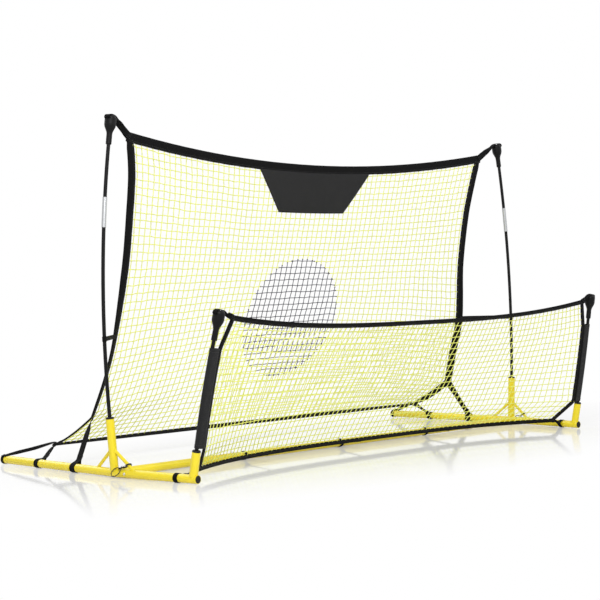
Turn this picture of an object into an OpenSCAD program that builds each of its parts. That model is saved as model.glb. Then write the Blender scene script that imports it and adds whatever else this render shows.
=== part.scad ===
// Two-sided football rebounder: a knock-down steel base, four sprung fibreglass
// poles, a tall concave rebound net with a round target and a low sloping net.
// Millimetres. +X is to the right, -Y is the side of the low net, +Z is up.
// The left half is modelled and the right half is its mirror image.

/* [Base frame] */
// Distance between the two side rails, centre to centre at the T joints
rail_gap = 2000; // [1400:10:2400]
// Outer diameter of every frame tube
tube_d = 25; // [22:0.5:30]
// Wall of the frame tubes
tube_wall = 1.2; // [1:0.1:2]
// Length of a side rail behind its T joint
rear_len = 552; // [450:1:700]
// How far the rear end of a side rail stands in from the T joint
rear_toe = 30; // [0:1:60]
// Distance from a T joint to the low post in front of it
front_len = 297; // [230:1:400]
// How far the low post stands in from the T joint
front_toe = 26; // [0:1:50]
// Length of front rail beyond the low post
front_tail = 18; // [14:1:30]
// Length of the arm in front of the T joint that takes the front rail
front_arm = 81; // [70:1:95]
// Length of the arm that each T joint holds out to the cross tube
cross_arm = 520; // [300:5:600]
// Length of the necked tube ends inside the arms
neck_len = 58; // [40:1:65]
// Radial play of a necked end in its arm
neck_play = 0.15; // [0.05:0.05:0.3]

/* [Sockets and braces] */
// Length of the tall post from the rail axis
main_post = 157; // [110:1:220]
// Length of the low post from the rail axis
low_post = 78; // [60:1:110]
// Outward lean of the tall posts
main_out = 4.3; // [0:0.1:8]
// Backward lean of the tall posts
main_back = 1.7; // [0:0.1:6]
// Outward lean of the low posts
low_out = 0; // [0:0.1:6]
// Forward lean of the low posts
low_fwd = 10.7; // [4:0.1:16]
// Diameter of the brace rods
brace_d = 10; // [6:0.5:12]
// Height of a brace's upper end above the rail axis
brace_rise = 72; // [55:1:95]
// Distance of a brace's lower end from the T joint, along the rail
brace_reach = 88; // [65:1:100]
// Height of the collar round the mouth of a post
collar_h = 5; // [3:0.5:10]
// Length of the collar's spigot inside the post
collar_spigot = 30; // [15:1:50]

/* [Poles] */
// Diameter of the fibreglass poles
pole_d = 11; // [8:0.5:14]
// Length of the bent part of a tall pole
main_arc = 795; // [600:5:1000]
// Radius to which the net bends a tall pole
main_bend = 3400; // [2600:50:8000]
// Length of the bent part of a low pole
low_arc = 313; // [220:1:450]
// Radius to which the net bends a low pole
low_bend = 3000; // [1500:5:6000]
// Length of the metal ferrule that joins the two halves of a tall pole
ferrule_len = 88; // [60:1:140]
// Wall of the ferrule
ferrule_wall = 1.2; // [0.8:0.1:2]
// Height of the ferrule's middle above the mouth of the tall post, along the pole
ferrule_at = 595; // [350:5:700]
// Length of a pole cap
cap_len = 88; // [75:1:110]
// Largest diameter of a pole cap
cap_head_d = 35; // [28:0.5:42]
// Diameter of a pole cap's neck
cap_neck_d = 17; // [15:0.5:22]

/* [Nets] */
// Width of a net strand
strand_w = 4; // [2:0.5:6]
// Thickness of a net strand
strand_t = 2; // [1:0.5:3]
// Top corner of the tall net, measured inwards from the cap's crown
corner_in = 90; // [60:1:140]
// Top corner of the tall net, measured backwards from the cap's crown
corner_back = 20; // [0:1:60]
// Top corner of the tall net, measured down from the cap's crown
corner_drop = 60; // [40:1:100]
// Sag of the tall net's top edge in the middle
top_sag = 66; // [20:1:110]
// How far the middle of the tall net's top edge lies behind its corners
top_back = 35; // [0:1:60]
// How far the middle of the tall net bows forwards
net_bow = 38; // [0:1:70]
// Knee of the tall net's side edge, inwards from the rail line
knee_in = 105; // [80:1:150]
// Knee of the tall net's side edge, behind the T joints
knee_back = 219; // [180:1:280]
// Knee of the tall net's side edge, above the rail axis
knee_up = 145; // [110:1:200]
// Lower corner of the tall net, inwards from the rail line
heel_in = 102; // [80:1:140]
// Lower corner of the tall net, behind the T joints
heel_back = 385; // [340:1:440]
// Lower corner of the tall net, above the rail axis
heel_up = 50; // [42:1:80]
// How far the middle of the tall net's bottom edge lies ahead of its lower corners
bottom_pull = 15; // [0:1:40]
// Width of the round target
target_w = 452; // [300:2:560]
// Height of the round target
target_h = 424; // [300:2:560]
// Place of the target down the tall net, as a share of its height
target_at = 0.58; // [0.4:0.01:0.65]
// Upper width of the panel at the top of the tall net
panel_top = 560; // [300:5:800]
// Lower width of the panel at the top of the tall net
panel_low = 326; // [150:5:500]
// Height of the panel
panel_h = 148; // [80:1:180]
// Top corner of the low net, inwards from the cap's crown
low_corner_in = 54; // [35:1:90]
// Top corner of the low net, down from the cap's crown
low_corner_drop = 25; // [20:1:60]
// Sag of the low net's top edge in the middle
low_sag = 43; // [15:1:80]
// How far the middle of the low net's top edge lies behind its corners
low_top_back = 25; // [0:1:50]
// Foot corner of the low net, inwards from the low post
foot_in = 73; // [60:1:110]
// Foot corner of the low net, behind the low post
foot_back = 50; // [40:1:90]
// Foot corner of the low net, above the rail axis
foot_up = 17; // [12:1:40]
// How far the ties pull the low net's bottom edge back in the middle
low_pull = 147; // [60:1:180]

/* [Webbing] */
// Width of the tall net's binding
bind_w = 28; // [18:1:30]
// Width of the low net's binding
low_bind_w = 16; // [12:1:20]
// Thickness of one layer of webbing
web_t = 1.3; // [1:0.1:2]
// Gap between webbing and what it goes round or lies on
web_gap = 0.2; // [0.1:0.05:0.3]
// Width of the straps at the knees
knee_strap_w = 20; // [14:1:25]
// Width of the straps from the tall net's corners through the tall caps
corner_strap_w = 20; // [14:1:25]
// Width of the smaller straps
strap_w = 14; // [10:1:20]
// Height of the middle straps above the rail axis
mid_strap_up = 388; // [250:1:500]
// Distance of the knee strap's band behind the T joint
knee_band_at = 188; // [140:1:260]
// Distance of the heel strap's band behind the T joint
heel_band_at = 368; // [300:1:440]
// Distance of the tail strap's band from the rail's rear end
tail_band_in = 9; // [8:1:30]
// Distance of the foot strap's band in front of the T joint
foot_band_at = 240; // [180:1:255]
// Width of the fabric sleeve on a low pole
sleeve_w = 28; // [22:1:40]
// Length of the fabric sleeve on a low pole
sleeve_len = 285; // [200:1:300]
// Distance between the cross tube's outer ties and its middle
tie_at = 462; // [300:1:465]

/* [Snap buttons and hooks] */
// Diameter of the snap buttons
button_d = 8; // [6:0.5:9]
// How far a snap button stands out and travels
button_out = 3.5; // [2.5:0.5:4]
// Distance of a snap button from the end of its arm
button_in = 32; // [25:1:40]
// Outer diameter of the anchor rings
ring_d = 34; // [28:1:38]
// Height and width of a ring's wire
ring_wire = 2.4; // [1.6:0.2:3]
// Thickness of a snap hook's body
hook_t = 4; // [3:0.5:6]

/* [Hidden] */
$fn = 48;

tube_yellow = "#f4d813";
web_black = "#1d1d1f";
plastic_black = "#161617";
pole_black = "#26262a";
cloth_black = "#2f2f32";
net_yellow = "#e3dc62";
target_grey = "#4a4a4c";
bare_metal = "#b9bcc0";
dark_metal = "#303033";

tube_r = tube_d / 2;
bore_r = tube_r - tube_wall;
weld_gap = 0.1;
seam_gap = 0.2;
rail_z = tube_r + web_gap + web_t;
rail_x = -rail_gap / 2;
t_joint = [rail_x, 0, rail_z];
rear_turn = atan2(rear_toe, rear_len);
front_turn = atan2(front_toe, front_len);
rear_run = norm([rear_toe, rear_len]);
front_run = norm([front_toe, front_len]);
neck_r = bore_r - neck_play;
seam_x = rail_gap / 2 - cross_arm;
low_foot = [rail_x + front_toe, -front_len, rail_z];

// Vectors, straight blends and the tilt of a post
function unit(v) = v / norm(v);
function blend(a, b, t) = a + (b - a) * t;
function tilt(p, a, b) =
    let (y1 = p[1] * cos(a) - p[2] * sin(a), z1 = p[1] * sin(a) + p[2] * cos(a))
    [p[0] * cos(b) + z1 * sin(b), y1, z1 * cos(b) - p[0] * sin(b)];
function deg(arc, radius) = arc / radius * 180 / PI;

// Centre line of a pole in its post's frame: straight, bent inwards, straight again
function pole_line(s, foot, arc, bend) =
    s <= foot ? [0, 0, s]
    : let (turn = deg(min(s - foot, arc), bend), rest = max(s - foot - arc, 0))
      [bend * (1 - cos(turn)) + rest * sin(turn), 0, foot + bend * sin(turn) + rest * cos(turn)];
main_mouth = main_post + collar_h;
low_mouth = low_post + collar_h;
function main_pole_at(s) =
    t_joint + tilt(pole_line(s, main_mouth, main_arc, main_bend), -main_back, -main_out);
function low_pole_at(s) =
    low_foot + tilt(pole_line(s, low_mouth, low_arc, low_bend), low_fwd, -low_out);
main_top = main_mouth + main_arc + cap_len;
low_top = low_mouth + low_arc + cap_len;
cap_bore = cap_len * 0.74;
main_crown = main_pole_at(main_top);
low_crown = low_pole_at(low_top);
fit_gap = 0.05;

// Smooth line through hand-set points, at a share f of its length
function run_of(pts) =
    [for (i = 0, s = 0; i < len(pts);
        s = s + (i + 1 < len(pts) ? norm(pts[i + 1] - pts[i]) : 0), i = i + 1) s];
function span_of(runs, s, i = 0) =
    (i + 2 < len(runs) && runs[i + 1] < s) ? span_of(runs, s, i + 1) : i;
function along(pts, f) =
    let (runs = run_of(pts), s = f * runs[len(runs) - 1], i = span_of(runs, s),
        u = (s - runs[i]) / (runs[i + 1] - runs[i]), p1 = pts[i], p2 = pts[i + 1],
        p0 = i > 0 ? pts[i - 1] : 2 * p1 - p2,
        p3 = i + 2 < len(pts) ? pts[i + 2] : 2 * p2 - p1)
    p1 + 0.5 * u * ((p2 - p0) + u * ((2 * p0 - 5 * p1 + 4 * p2 - p3)
        + u * (3 * p1 - p0 - 3 * p2 + p3)));

// Tall net: side edge from corner over the knee to the heel, and its middle line
main_corner = main_crown + [corner_in, corner_back, -corner_drop];
knee = [rail_x + knee_in, knee_back, rail_z + knee_up];
heel = [rail_x + heel_in, heel_back, rail_z + heel_up];
// The side edge's way down and its bows inwards and forwards, as shares of its length
side_span = norm(knee - main_corner);
side_bow = [[0.12, 0.026, 0.006], [0.26, 0.041, 0.008], [0.47, 0.046, 0.019],
    [0.71, 0.026, 0.033], [0.86, 0.019, 0.019]];
upper_side = concat([main_corner],
    [for (b = side_bow) blend(main_corner, knee, b[0]) + [b[1], -b[2], 0] * side_span], [knee]);
lower_side = [knee, blend(knee, heel, 0.5) + [0, -4, -2] / 200 * norm(heel - knee), heel];
main_rows = 11;
knee_row = 9;
main_cols = 16;
centre_top = [main_corner[1] + top_back, main_corner[2] - top_sag];
centre_low = [heel_back - bottom_pull, heel[2] + bottom_pull / 5];
function main_side(v) =
    let (row = v * main_rows)
    row <= knee_row ? along(upper_side, row / knee_row)
    : along(lower_side, (row - knee_row) / (main_rows - knee_row));
function main_centre(v) =
    blend(centre_top, centre_low, v) - [net_bow * 4 * v * (1 - v), 0];
function main_point(u, v) =
    let (side = main_side(v), mid = main_centre(v), w = 1 - pow(abs(2 * u - 1), 2))
    [side[0] * (1 - 2 * u), blend(side[1], mid[0], w), blend(side[2], mid[1], w)];

// Low net: side edge beside the sleeve, and its middle line
sleeve_low = low_mouth + 6;
sleeve_high = sleeve_low + sleeve_len;
sleeve_back = sleeve_w - pole_d / 2 - web_t;
sleeve_edge = sleeve_back + 0.9 + low_bind_w / 2;
function beside_pole(s) =
    let (turn = deg(s - low_mouth, low_bend), reach = low_bend - sleeve_edge)
    low_foot + tilt([low_bend - reach * cos(turn), 0, low_mouth + reach * sin(turn)],
        low_fwd, -low_out);
low_corner = low_crown + [low_corner_in, 2, -low_corner_drop];
foot_corner = low_foot + [foot_in, foot_back, foot_up];
low_edge = concat([low_corner],
    [for (k = [3:-1:0]) beside_pole(sleeve_low + sleeve_len * k / 3)], [foot_corner]);
low_rows = len(low_edge) - 1;
low_cols = 12;
low_centre_top = [low_corner[1] + low_top_back, low_corner[2] - low_sag];
low_centre_low = [foot_corner[1] + low_pull, foot_corner[2]];
function low_side(v) =
    let (row = min(v * low_rows, low_rows), i = min(floor(row), low_rows - 1))
    blend(low_edge[i], low_edge[i + 1], row - i);
function low_point(u, v) =
    let (side = low_side(v), mid = blend(low_centre_top, low_centre_low, v),
        w = 1 - pow(abs(2 * u - 1), 3))
    [side[0] * (1 - 2 * u), blend(side[1], mid[0], w), blend(side[2], mid[1], w)];

// which = 0 is the tall net and 1 the low net; both face forwards
function net_point(which, u, v) = which == 0 ? main_point(u, v) : low_point(u, v);
// Directions are taken over one cell of the lattice, so bindings lie true to its edges
function cols_of(which) = which == 0 ? main_cols : low_cols;
function rows_of(which) = which == 0 ? main_rows : low_rows;
function across(which, u, v) =
    let (step = 1 / cols_of(which))
    unit(net_point(which, min(u + step, 1), v) - net_point(which, max(u - step, 0), v));
function down(which, u, v) =
    let (step = 1 / rows_of(which))
    unit(net_point(which, u, min(v + step, 1)) - net_point(which, u, max(v - step, 0)));
function side_point(which, v) =
    let (rows = rows_of(which), i = min(floor(v * rows), rows - 1))
    blend(net_point(which, 0, i / rows), net_point(which, 0, (i + 1) / rows), v * rows - i);
function facing(which, u, v) = unit(cross(down(which, u, v), across(which, u, v)));

// A cell of netting: its rim on the grid lines and its gap half a strand inside
cell_i = [0, 1, 1, 0];
cell_j = [0, 0, 1, 1];
function gap_corner(grid, face, i, j, k) =
    let (m = (k + 1) % 4, l = (k + 3) % 4, f = face[j + cell_j[k]][i + cell_i[k]],
        p = grid[j + cell_j[k]][i + cell_i[k]],
        n1 = cross(unit(grid[j + cell_j[m]][i + cell_i[m]] - p), f),
        n0 = cross(unit(p - grid[j + cell_j[l]][i + cell_i[l]]), f))
    p + (n0 + n1) * strand_w / 2 / (1 + n0 * n1);
module netting(grid, face, cells, thick) {
    rows = len(grid);
    cols = len(grid[0]);
    rim_count = rows * cols;
    // grid points in front and behind, then four gap corners of each cell in front and behind
    rim = [for (side = [0.5, -0.5], j = [0:rows - 1], i = [0:cols - 1])
        grid[j][i] + face[j][i] * thick * side];
    gaps = [for (side = [0.5, -0.5], c = cells, k = [0:3])
        gap_corner(grid, face, c[0], c[1], k)
            + face[c[1] + cell_j[k]][c[0] + cell_i[k]] * thick * side];
    half = 4 * len(cells);
    function rim_id(i, j, back) = back * rim_count + j * cols + i;
    function gap_id(n, k, back) = 2 * rim_count + back * half + 4 * n + k;
    function has(i, j) = len([for (c = cells) if (c[0] == i && c[1] == j) 1]) > 0;
    faces = [for (n = [0:len(cells) - 1], k = [0:3])
        let (c = cells[n], m = (k + 1) % 4,
            p = [c[0] + cell_i[k], c[1] + cell_j[k]], q = [c[0] + cell_i[m], c[1] + cell_j[m]],
            beside = [[0, -1], [1, 0], [0, 1], [-1, 0]][k],
            f0 = rim_id(p[0], p[1], 0), f1 = rim_id(q[0], q[1], 0),
            b0 = rim_id(p[0], p[1], 1), b1 = rim_id(q[0], q[1], 1),
            g0 = gap_id(n, k, 0), g1 = gap_id(n, m, 0),
            h0 = gap_id(n, k, 1), h1 = gap_id(n, m, 1))
        each concat(
            [[f0, f1, g1], [f0, g1, g0], [b0, h1, b1], [b0, h0, h1], [g0, g1, h1], [g0, h1, h0]],
            has(c[0] + beside[0], c[1] + beside[1]) ? [] : [[f0, b1, f1], [f0, b0, b1]])];
    polyhedron(points = concat(rim, gaps), faces = faces);
}
function all_cells(cols, rows) = [for (j = [0:rows - 1], i = [0:cols - 1]) [i, j]];
module whole_net(which, cols, rows) {
    grid = [for (j = [0:rows]) [for (i = [0:cols]) net_point(which, i / cols, j / rows)]];
    face = [for (j = [0:rows]) [for (i = [0:cols]) facing(which, i / cols, j / rows)]];
    netting(grid, face, all_cells(cols, rows), strand_t);
}

// A solid swept through rings of points, closed at both ends
module sweep(rings) {
    n = len(rings[0]);
    last = len(rings) - 1;
    points = [for (ring = rings, p = ring) p];
    walls = [for (i = [0:last - 1], k = [0:n - 1])
        let (a = i * n + k, b = i * n + (k + 1) % n, lies = points[b] - points[a],
            along_first = lies * (points[i * n + 1] - points[i * n]) >= 0)
        each along_first ? [[a, b + n, b], [a, a + n, b + n]]
            : [[a, a + n, b], [b, a + n, b + n]]];
    near = [for (k = [1:n - 2]) [0, k, k + 1]];
    far = [for (k = [1:n - 2]) [last * n, last * n + k + 1, last * n + k]];
    polyhedron(points = points, faces = concat(walls, near, far));
}

// Folded binding: both layers and the fold, open towards the net
// Room for the net inside a fold
fold_play = 1.6;
slot_t = strand_t + 2 * web_gap + fold_play;
bind_t = slot_t + 2 * web_t;
function fold_ring(at, out, face, width) =
    [for (p = [[width / 2, bind_t / 2], [-width / 2, bind_t / 2], [-width / 2, slot_t / 2],
            [width / 2 - web_t, slot_t / 2], [width / 2 - web_t, -slot_t / 2],
            [-width / 2, -slot_t / 2], [-width / 2, -bind_t / 2], [width / 2, -bind_t / 2]])
        at + out * p[0] + face * p[1]];
// edge 0 top, 1 bottom, 2 left side; from and to are shares along the edge
module fold(which, edge, stops, width) {
    rings = [for (f = stops)
        let (u = edge == 2 ? 0 : f, v = edge == 0 ? 0 : edge == 1 ? 1 : f,
            face = facing(which, u, v),
            course = edge == 2 ? down(which, u, v) : across(which, u, v),
            out = edge == 0 ? cross(face, course) : cross(course, face))
        fold_ring(edge == 2 ? side_point(which, v) : net_point(which, u, v), unit(out), face, width)];
    sweep(edge == 0 ? rings : [for (ring = rings) [for (k = [7:-1:0]) ring[k]]]);
}

// Flat webbing through a list of points; across gives the direction of its width
module ribbon(line, wide, width, thick) {
    last = len(line) - 1;
    sweep([for (i = [0:last])
        let (course = unit(line[min(i + 1, last)] - line[max(i - 1, 0)]),
            w = unit(is_list(wide[0]) ? wide[i] : wide), side = unit(w - course * (w * course)),
            n = cross(course, side))
        [for (p = [[1, 1], [-1, 1], [-1, -1], [1, -1]])
            line[i] + side * p[0] * width / 2 + n * p[1] * thick / 2]]);
}

// Places a child drawn along +Z at one point so that it runs to another
module from_to(p, q) {
    v = q - p;
    translate(p) rotate([0, acos(v[2] / norm(v)), atan2(v[1], v[0])]) children();
}
module frame_at(o, x, z) {
    y = cross(z, x);
    multmatrix([[x[0], y[0], z[0], o[0]], [x[1], y[1], z[1], o[1]], [x[2], y[2], z[2], o[2]],
        [0, 0, 0, 1]]) children();
}
module tube(r, bore, length) {
    rotate_extrude() translate([bore, 0]) square([r - bore, length]);
}
module band(r, width) {
    translate([0, 0, -width / 2]) tube(r + web_gap + web_t, r + web_gap, width);
}
module on_right() { mirror([1, 0, 0]) children(); }
module rear_frame() { translate(t_joint) rotate([-90, 0, -rear_turn]) children(); }
module front_frame() { translate(t_joint) rotate([90, 0, front_turn]) children(); }
module main_frame() { translate(t_joint) rotate([-main_back, -main_out, 0]) children(); }
module low_frame() { translate(low_foot) rotate([low_fwd, -low_out, 0]) children(); }
module arm_frame() { translate(t_joint) rotate([0, 90, 0]) children(); }

// --- Base frame -----------------------------------------------------------------------------
// Both runs of the bent side rail at a radius, mitred where they meet
module rail_run(r, turn_z, length, forward) {
    mitre = (front_turn - rear_turn) / 2;
    big = 3 * max(rear_run, front_run);
    intersection() {
        translate(t_joint) rotate([forward ? 90 : -90, 0, turn_z])
            translate([0, 0, -r]) cylinder(r = r, h = length + r);
        translate(t_joint) rotate([0, 0, mitre])
            translate([-big / 2, forward ? -big : 0, -big / 2]) cube(big);
    }
}
module side_core(r, rear, front) {
    union() {
        rail_run(r, -rear_turn, rear, false);
        rail_run(r, front_turn, front, true);
    }
}
module side_rail() {
    color(tube_yellow) difference() {
        side_core(tube_r, rear_run, front_arm);
        side_core(bore_r, rear_run + 1, front_arm + 1);
        front_frame() translate([0, 0, front_arm - button_in]) rotate([0, -90, 0])
            cylinder(d = button_d + 0.4, h = tube_d);
    }
}
// Necked tube along +Z: neck first, then the full tube to its far end
module necked(length) {
    slope = 3;
    inner = neck_r - tube_wall;
    outline = [[inner, -neck_len], [neck_r, -neck_len], [neck_r, seam_gap],
        [tube_r, seam_gap + 0.01], [tube_r, length], [bore_r, length], [bore_r, slope + seam_gap],
        [inner, slope + seam_gap - 2]];
    rotate_extrude() polygon(outline);
}
module front_rail() {
    color(tube_yellow) difference() {
        front_frame() translate([0, 0, front_arm]) necked(front_run + front_tail - front_arm);
        front_frame() translate([0, 0, front_arm - button_in]) rotate([0, -90, 0])
            cylinder(d = button_d + 0.4, h = tube_d);
    }
}
module cross_core(r) { arm_frame() cylinder(r = r, h = cross_arm); }
module cross_arm_tube() {
    color(tube_yellow) difference() {
        arm_frame() translate([0, 0, tube_r / 2]) tube(tube_r, bore_r, cross_arm - tube_r / 2);
        side_core(tube_r + weld_gap, tube_d * 2, tube_d * 2);
        arm_frame() translate([0, 0, cross_arm - button_in]) rotate([0, -90, 0])
            cylinder(d = button_d + 0.4, h = tube_d);
    }
}
// Centre cross tube, symmetric about x = 0, with a neck at each end
module cross_tube() {
    inner = neck_r - tube_wall;
    half = seam_x - seam_gap;
    tip = seam_x + neck_len;
    outline = [[inner, -tip], [neck_r, -tip], [neck_r, -half], [tube_r, -half], [tube_r, half],
        [neck_r, half], [neck_r, tip], [inner, tip], [inner, half - 3], [bore_r, half - 6],
        [bore_r, 6 - half], [inner, 3 - half]];
    color(tube_yellow) difference() {
        translate([0, 0, rail_z]) rotate([0, 90, 0]) rotate_extrude() polygon(outline);
        for (side = [-1, 1]) translate([side * (seam_x + button_in), 0, rail_z])
            cylinder(d = button_d + 0.4, h = tube_d);
    }
}
module main_post_tube() {
    color(tube_yellow) difference() {
        main_frame() translate([0, 0, tube_r / 2]) tube(tube_r, bore_r, main_post - tube_r / 2);
        side_core(tube_r + weld_gap, tube_d * 2, tube_d * 2);
        cross_core(tube_r + weld_gap);
    }
}
module low_post_tube() {
    color(tube_yellow) difference() {
        low_frame() translate([0, 0, tube_r / 2]) tube(tube_r, bore_r, low_post - tube_r / 2);
        front_frame() translate([0, 0, front_run - tube_d * 2])
            cylinder(r = tube_r + weld_gap, h = tube_d * 4);
    }
}
brace_head = t_joint + tilt([0, 0, brace_rise], -main_back, -main_out);
front_brace_foot = t_joint + [sin(front_turn), -cos(front_turn), 0] * brace_reach;
rear_brace_foot = t_joint + [sin(rear_turn), cos(rear_turn), 0] * brace_reach;
module braces() {
    color(tube_yellow) difference() {
        for (foot = [front_brace_foot, rear_brace_foot])
            from_to(brace_head, foot) cylinder(d = brace_d, h = norm(foot - brace_head));
        main_frame() cylinder(r = tube_r + weld_gap, h = main_post);
        side_core(tube_r + weld_gap, tube_d * 6, tube_d * 6);
    }
}
// Ribbed plug pressed into an open tube end, its face proud of the rim
module plug() {
    lip = 1.5;
    depth = 16;
    fit = bore_r - fit_gap;
    color(plastic_black) rotate_extrude()
        polygon([[0, -depth], [fit - 1.5, -depth], [fit, -depth + 3], [fit, 0],
            [fit - 0.6, lip * 0.6], [fit - 3, lip], [0, lip]]);
}
module end_plugs() {
    for (side = [0, 1]) mirror([side, 0, 0]) {
        rear_frame() translate([0, 0, rear_run]) plug();
        front_frame() translate([0, 0, front_run + front_tail]) plug();
    }
}
// Collar that seats on a post's rim and centres the pole
module collar() {
    outer = tube_r - 0.3;
    color(plastic_black) rotate_extrude()
        polygon([[pole_d / 2 + fit_gap, -collar_spigot], [bore_r - 1, -collar_spigot],
            [bore_r - fit_gap, -collar_spigot + 2], [bore_r - fit_gap, 0], [outer, 0],
            [outer, collar_h - 1.5], [outer - 1.5, collar_h], [pole_d / 2 + fit_gap, collar_h]]);
}
module post_collars() {
    for (side = [0, 1]) mirror([side, 0, 0]) {
        main_frame() translate([0, 0, main_post]) collar();
        low_frame() translate([0, 0, low_post]) collar();
    }
}

// --- Poles ----------------------------------------------------------------------------------
// Part of a bent rod or tube of a bend radius, between two places along it
module bent(r, bore, bend, from, to) {
    translate([bend, 0, 0]) rotate([90, 0, 180]) rotate([0, 0, deg(from, bend)])
        rotate_extrude(angle = deg(to - from, bend), $fn = 720) translate([bend, 0])
            difference() {
                circle(r = r, $fn = 48);
                if (bore > 0) circle(r = bore, $fn = 48);
            }
}
function pole_start(lean) = (tube_r + 0.3 + pole_d / 2 * sin(lean)) / cos(lean);
module lower_pole() {
    start = pole_start(main_out + main_back);
    color(pole_black) main_frame() {
        translate([0, 0, start]) cylinder(d = pole_d, h = main_mouth - start);
        translate([0, 0, main_mouth]) bent(pole_d / 2, 0, main_bend, 0, ferrule_at - 0.1);
    }
}
module upper_pole() {
    color(pole_black) main_frame() {
        translate([0, 0, main_mouth])
            bent(pole_d / 2, 0, main_bend, ferrule_at + 0.1, main_arc + cap_bore - 0.4);
    }
}
module pole_ferrules() {
    inner = pole_d / 2 + fit_gap;
    for (side = [0, 1]) mirror([side, 0, 0]) color(bare_metal) main_frame()
        translate([0, 0, main_mouth]) bent(inner + ferrule_wall, inner, main_bend,
            ferrule_at - ferrule_len / 2, ferrule_at + ferrule_len / 2);
}
module low_pole() {
    start = pole_start(low_fwd + low_out);
    color(pole_black) low_frame() {
        translate([0, 0, start]) cylinder(d = pole_d, h = low_mouth - start);
        translate([0, 0, low_mouth])
            bent(pole_d / 2, 0, low_bend, 0, low_arc + cap_bore - 0.4);
    }
}
// Moulded cap: slim neck, flared head, a saddle over the crown and a slot through the head,
// so that a loop of webbing goes in through the slot and back over the crown
saddle = web_t + 2.2;
bar_t = 7;
slot_h = web_t + 2.6;
slot_z = cap_len - saddle - bar_t - slot_h;
module cap(saddle_w, turn, bend) {
    neck = cap_neck_d / 2;
    head = cap_head_d / 2;
    round = head * 0.69;
    neck_top = cap_len * 0.34;
    flare = cap_len * 0.68;
    color(plastic_black) difference() {
        rotate_extrude() polygon(concat(
            [[0, 0], [neck - 1, 0], [neck, 1.5], [neck, neck_top]],
            [for (k = [1:7]) [blend(neck, head, (1 - cos(k * 180 / 7)) / 2), blend(neck_top, flare, k / 7)]],
            [for (a = [0:15:90]) [head - round + round * cos(a), cap_len - round + round * sin(a)]],
            [[0, cap_len]]));
        bent(pole_d / 2 + fit_gap, 0, bend, -1, cap_bore);
        rotate([0, 0, turn]) {
            translate([-cap_head_d, -saddle_w / 2, cap_len - saddle])
                cube([2 * cap_head_d, saddle_w, cap_head_d]);
            translate([-cap_head_d, -saddle_w / 2, slot_z])
                cube([2 * cap_head_d, saddle_w, slot_h]);
        }
    }
}
module main_cap_frame() {
    main_frame() translate(pole_line(main_mouth + main_arc, main_mouth, main_arc, main_bend))
        rotate([0, deg(main_arc, main_bend), 0]) children();
}
module low_cap_frame() {
    low_frame() translate(pole_line(low_mouth + low_arc, low_mouth, low_arc, low_bend))
        rotate([0, deg(low_arc, low_bend), 0]) children();
}
saddle_play = 0.6;
// The tall caps are turned so that their slots face the net's corners
main_cap_turn = atan2(corner_back, corner_in);
module main_cap() { main_cap_frame() cap(corner_strap_w + saddle_play, main_cap_turn, main_bend); }
module low_cap() { low_cap_frame() cap(low_bind_w + saddle_play, 0, low_bend); }

// --- Nets and webbing -----------------------------------------------------------------------
function mm_along(which, u, v) =
    let (step = 0.004)
    norm(net_point(which, u, v + step) - net_point(which, u, v - step)) / (2 * step);
function share_at(which, v, x) = (1 - x / net_point(which, 0, v)[0]) / 2;

// Round target: a square mesh whose outer knots are drawn onto a circle
target_cells = 10;
function target_in(i, j) =
    norm([i + 0.5 - target_cells / 2, j + 0.5 - target_cells / 2]) < 0.49 * target_cells;
function target_edge(i, j) =
    !(target_in(i - 1, j - 1) && target_in(i, j - 1) && target_in(i - 1, j) && target_in(i, j));
layer_gap = 0.7;
module target() {
    mid = target_cells / 2;
    scale_v = mm_along(0, 0.5, target_at);
    spots = [for (j = [0:target_cells]) [for (i = [0:target_cells])
        let (p = [i - mid, j - mid] / mid,
            q = target_edge(i, j) && norm(p) > 0 ? unit(p) : p,
            v = target_at + q[1] * target_h / 2 / scale_v)
        [share_at(0, v, q[0] * target_w / 2), v]]];
    face = [for (row = spots) [for (s = row) facing(0, s[0], s[1])]];
    grid = [for (j = [0:target_cells]) [for (i = [0:target_cells])
        net_point(0, spots[j][i][0], spots[j][i][1]) + face[j][i] * (strand_t + layer_gap)]];
    cells = [for (c = all_cells(target_cells, target_cells)) if (target_in(c[0], c[1])) c];
    color(target_grey) netting(grid, face, cells, strand_t);
}

// Closed sheet between a grid of points in front and one behind
module sheet(front, back) {
    rows = len(front);
    cols = len(front[0]);
    count = rows * cols;
    points = [for (grid = [front, back], row = grid, p = row) p];
    flat = [for (j = [0:rows - 2], i = [0:cols - 2])
        let (a = j * cols + i, b = a + 1, c = a + cols, d = c + 1)
        each [[a, b, d], [a, d, c], [a + count, d + count, b + count],
            [a + count, c + count, d + count]]];
    rim = concat([for (i = [0:cols - 1]) i], [for (j = [1:rows - 1]) (j + 1) * cols - 1],
        [for (i = [cols - 2:-1:0]) (rows - 1) * cols + i], [for (j = [rows - 2:-1:1]) j * cols]);
    walls = [for (k = [0:len(rim) - 1])
        let (a = rim[k], b = rim[(k + 1) % len(rim)])
        each [[a, a + count, b + count], [a, b + count, b]]];
    polyhedron(points = points, faces = concat(flat, walls));
}
module panel() {
    cols = 8;
    rows = 2;
    scale_v = mm_along(0, 0.5, 0.1);
    spots = [for (j = [0:rows]) [for (i = [0:cols])
        let (v = (blend(bind_w / 2 + 1, panel_h, j / rows)) / scale_v,
            x = blend(panel_top, panel_low, j / rows) * (i / cols - 0.5))
        [share_at(0, v, x), v]]];
    function layer(lift) = [for (row = spots) [for (s = row)
        net_point(0, s[0], s[1]) + facing(0, s[0], s[1]) * lift]];
    low = strand_t / 2 + layer_gap;
    color(cloth_black) sheet(layer(low + web_t), layer(low));
}

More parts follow.
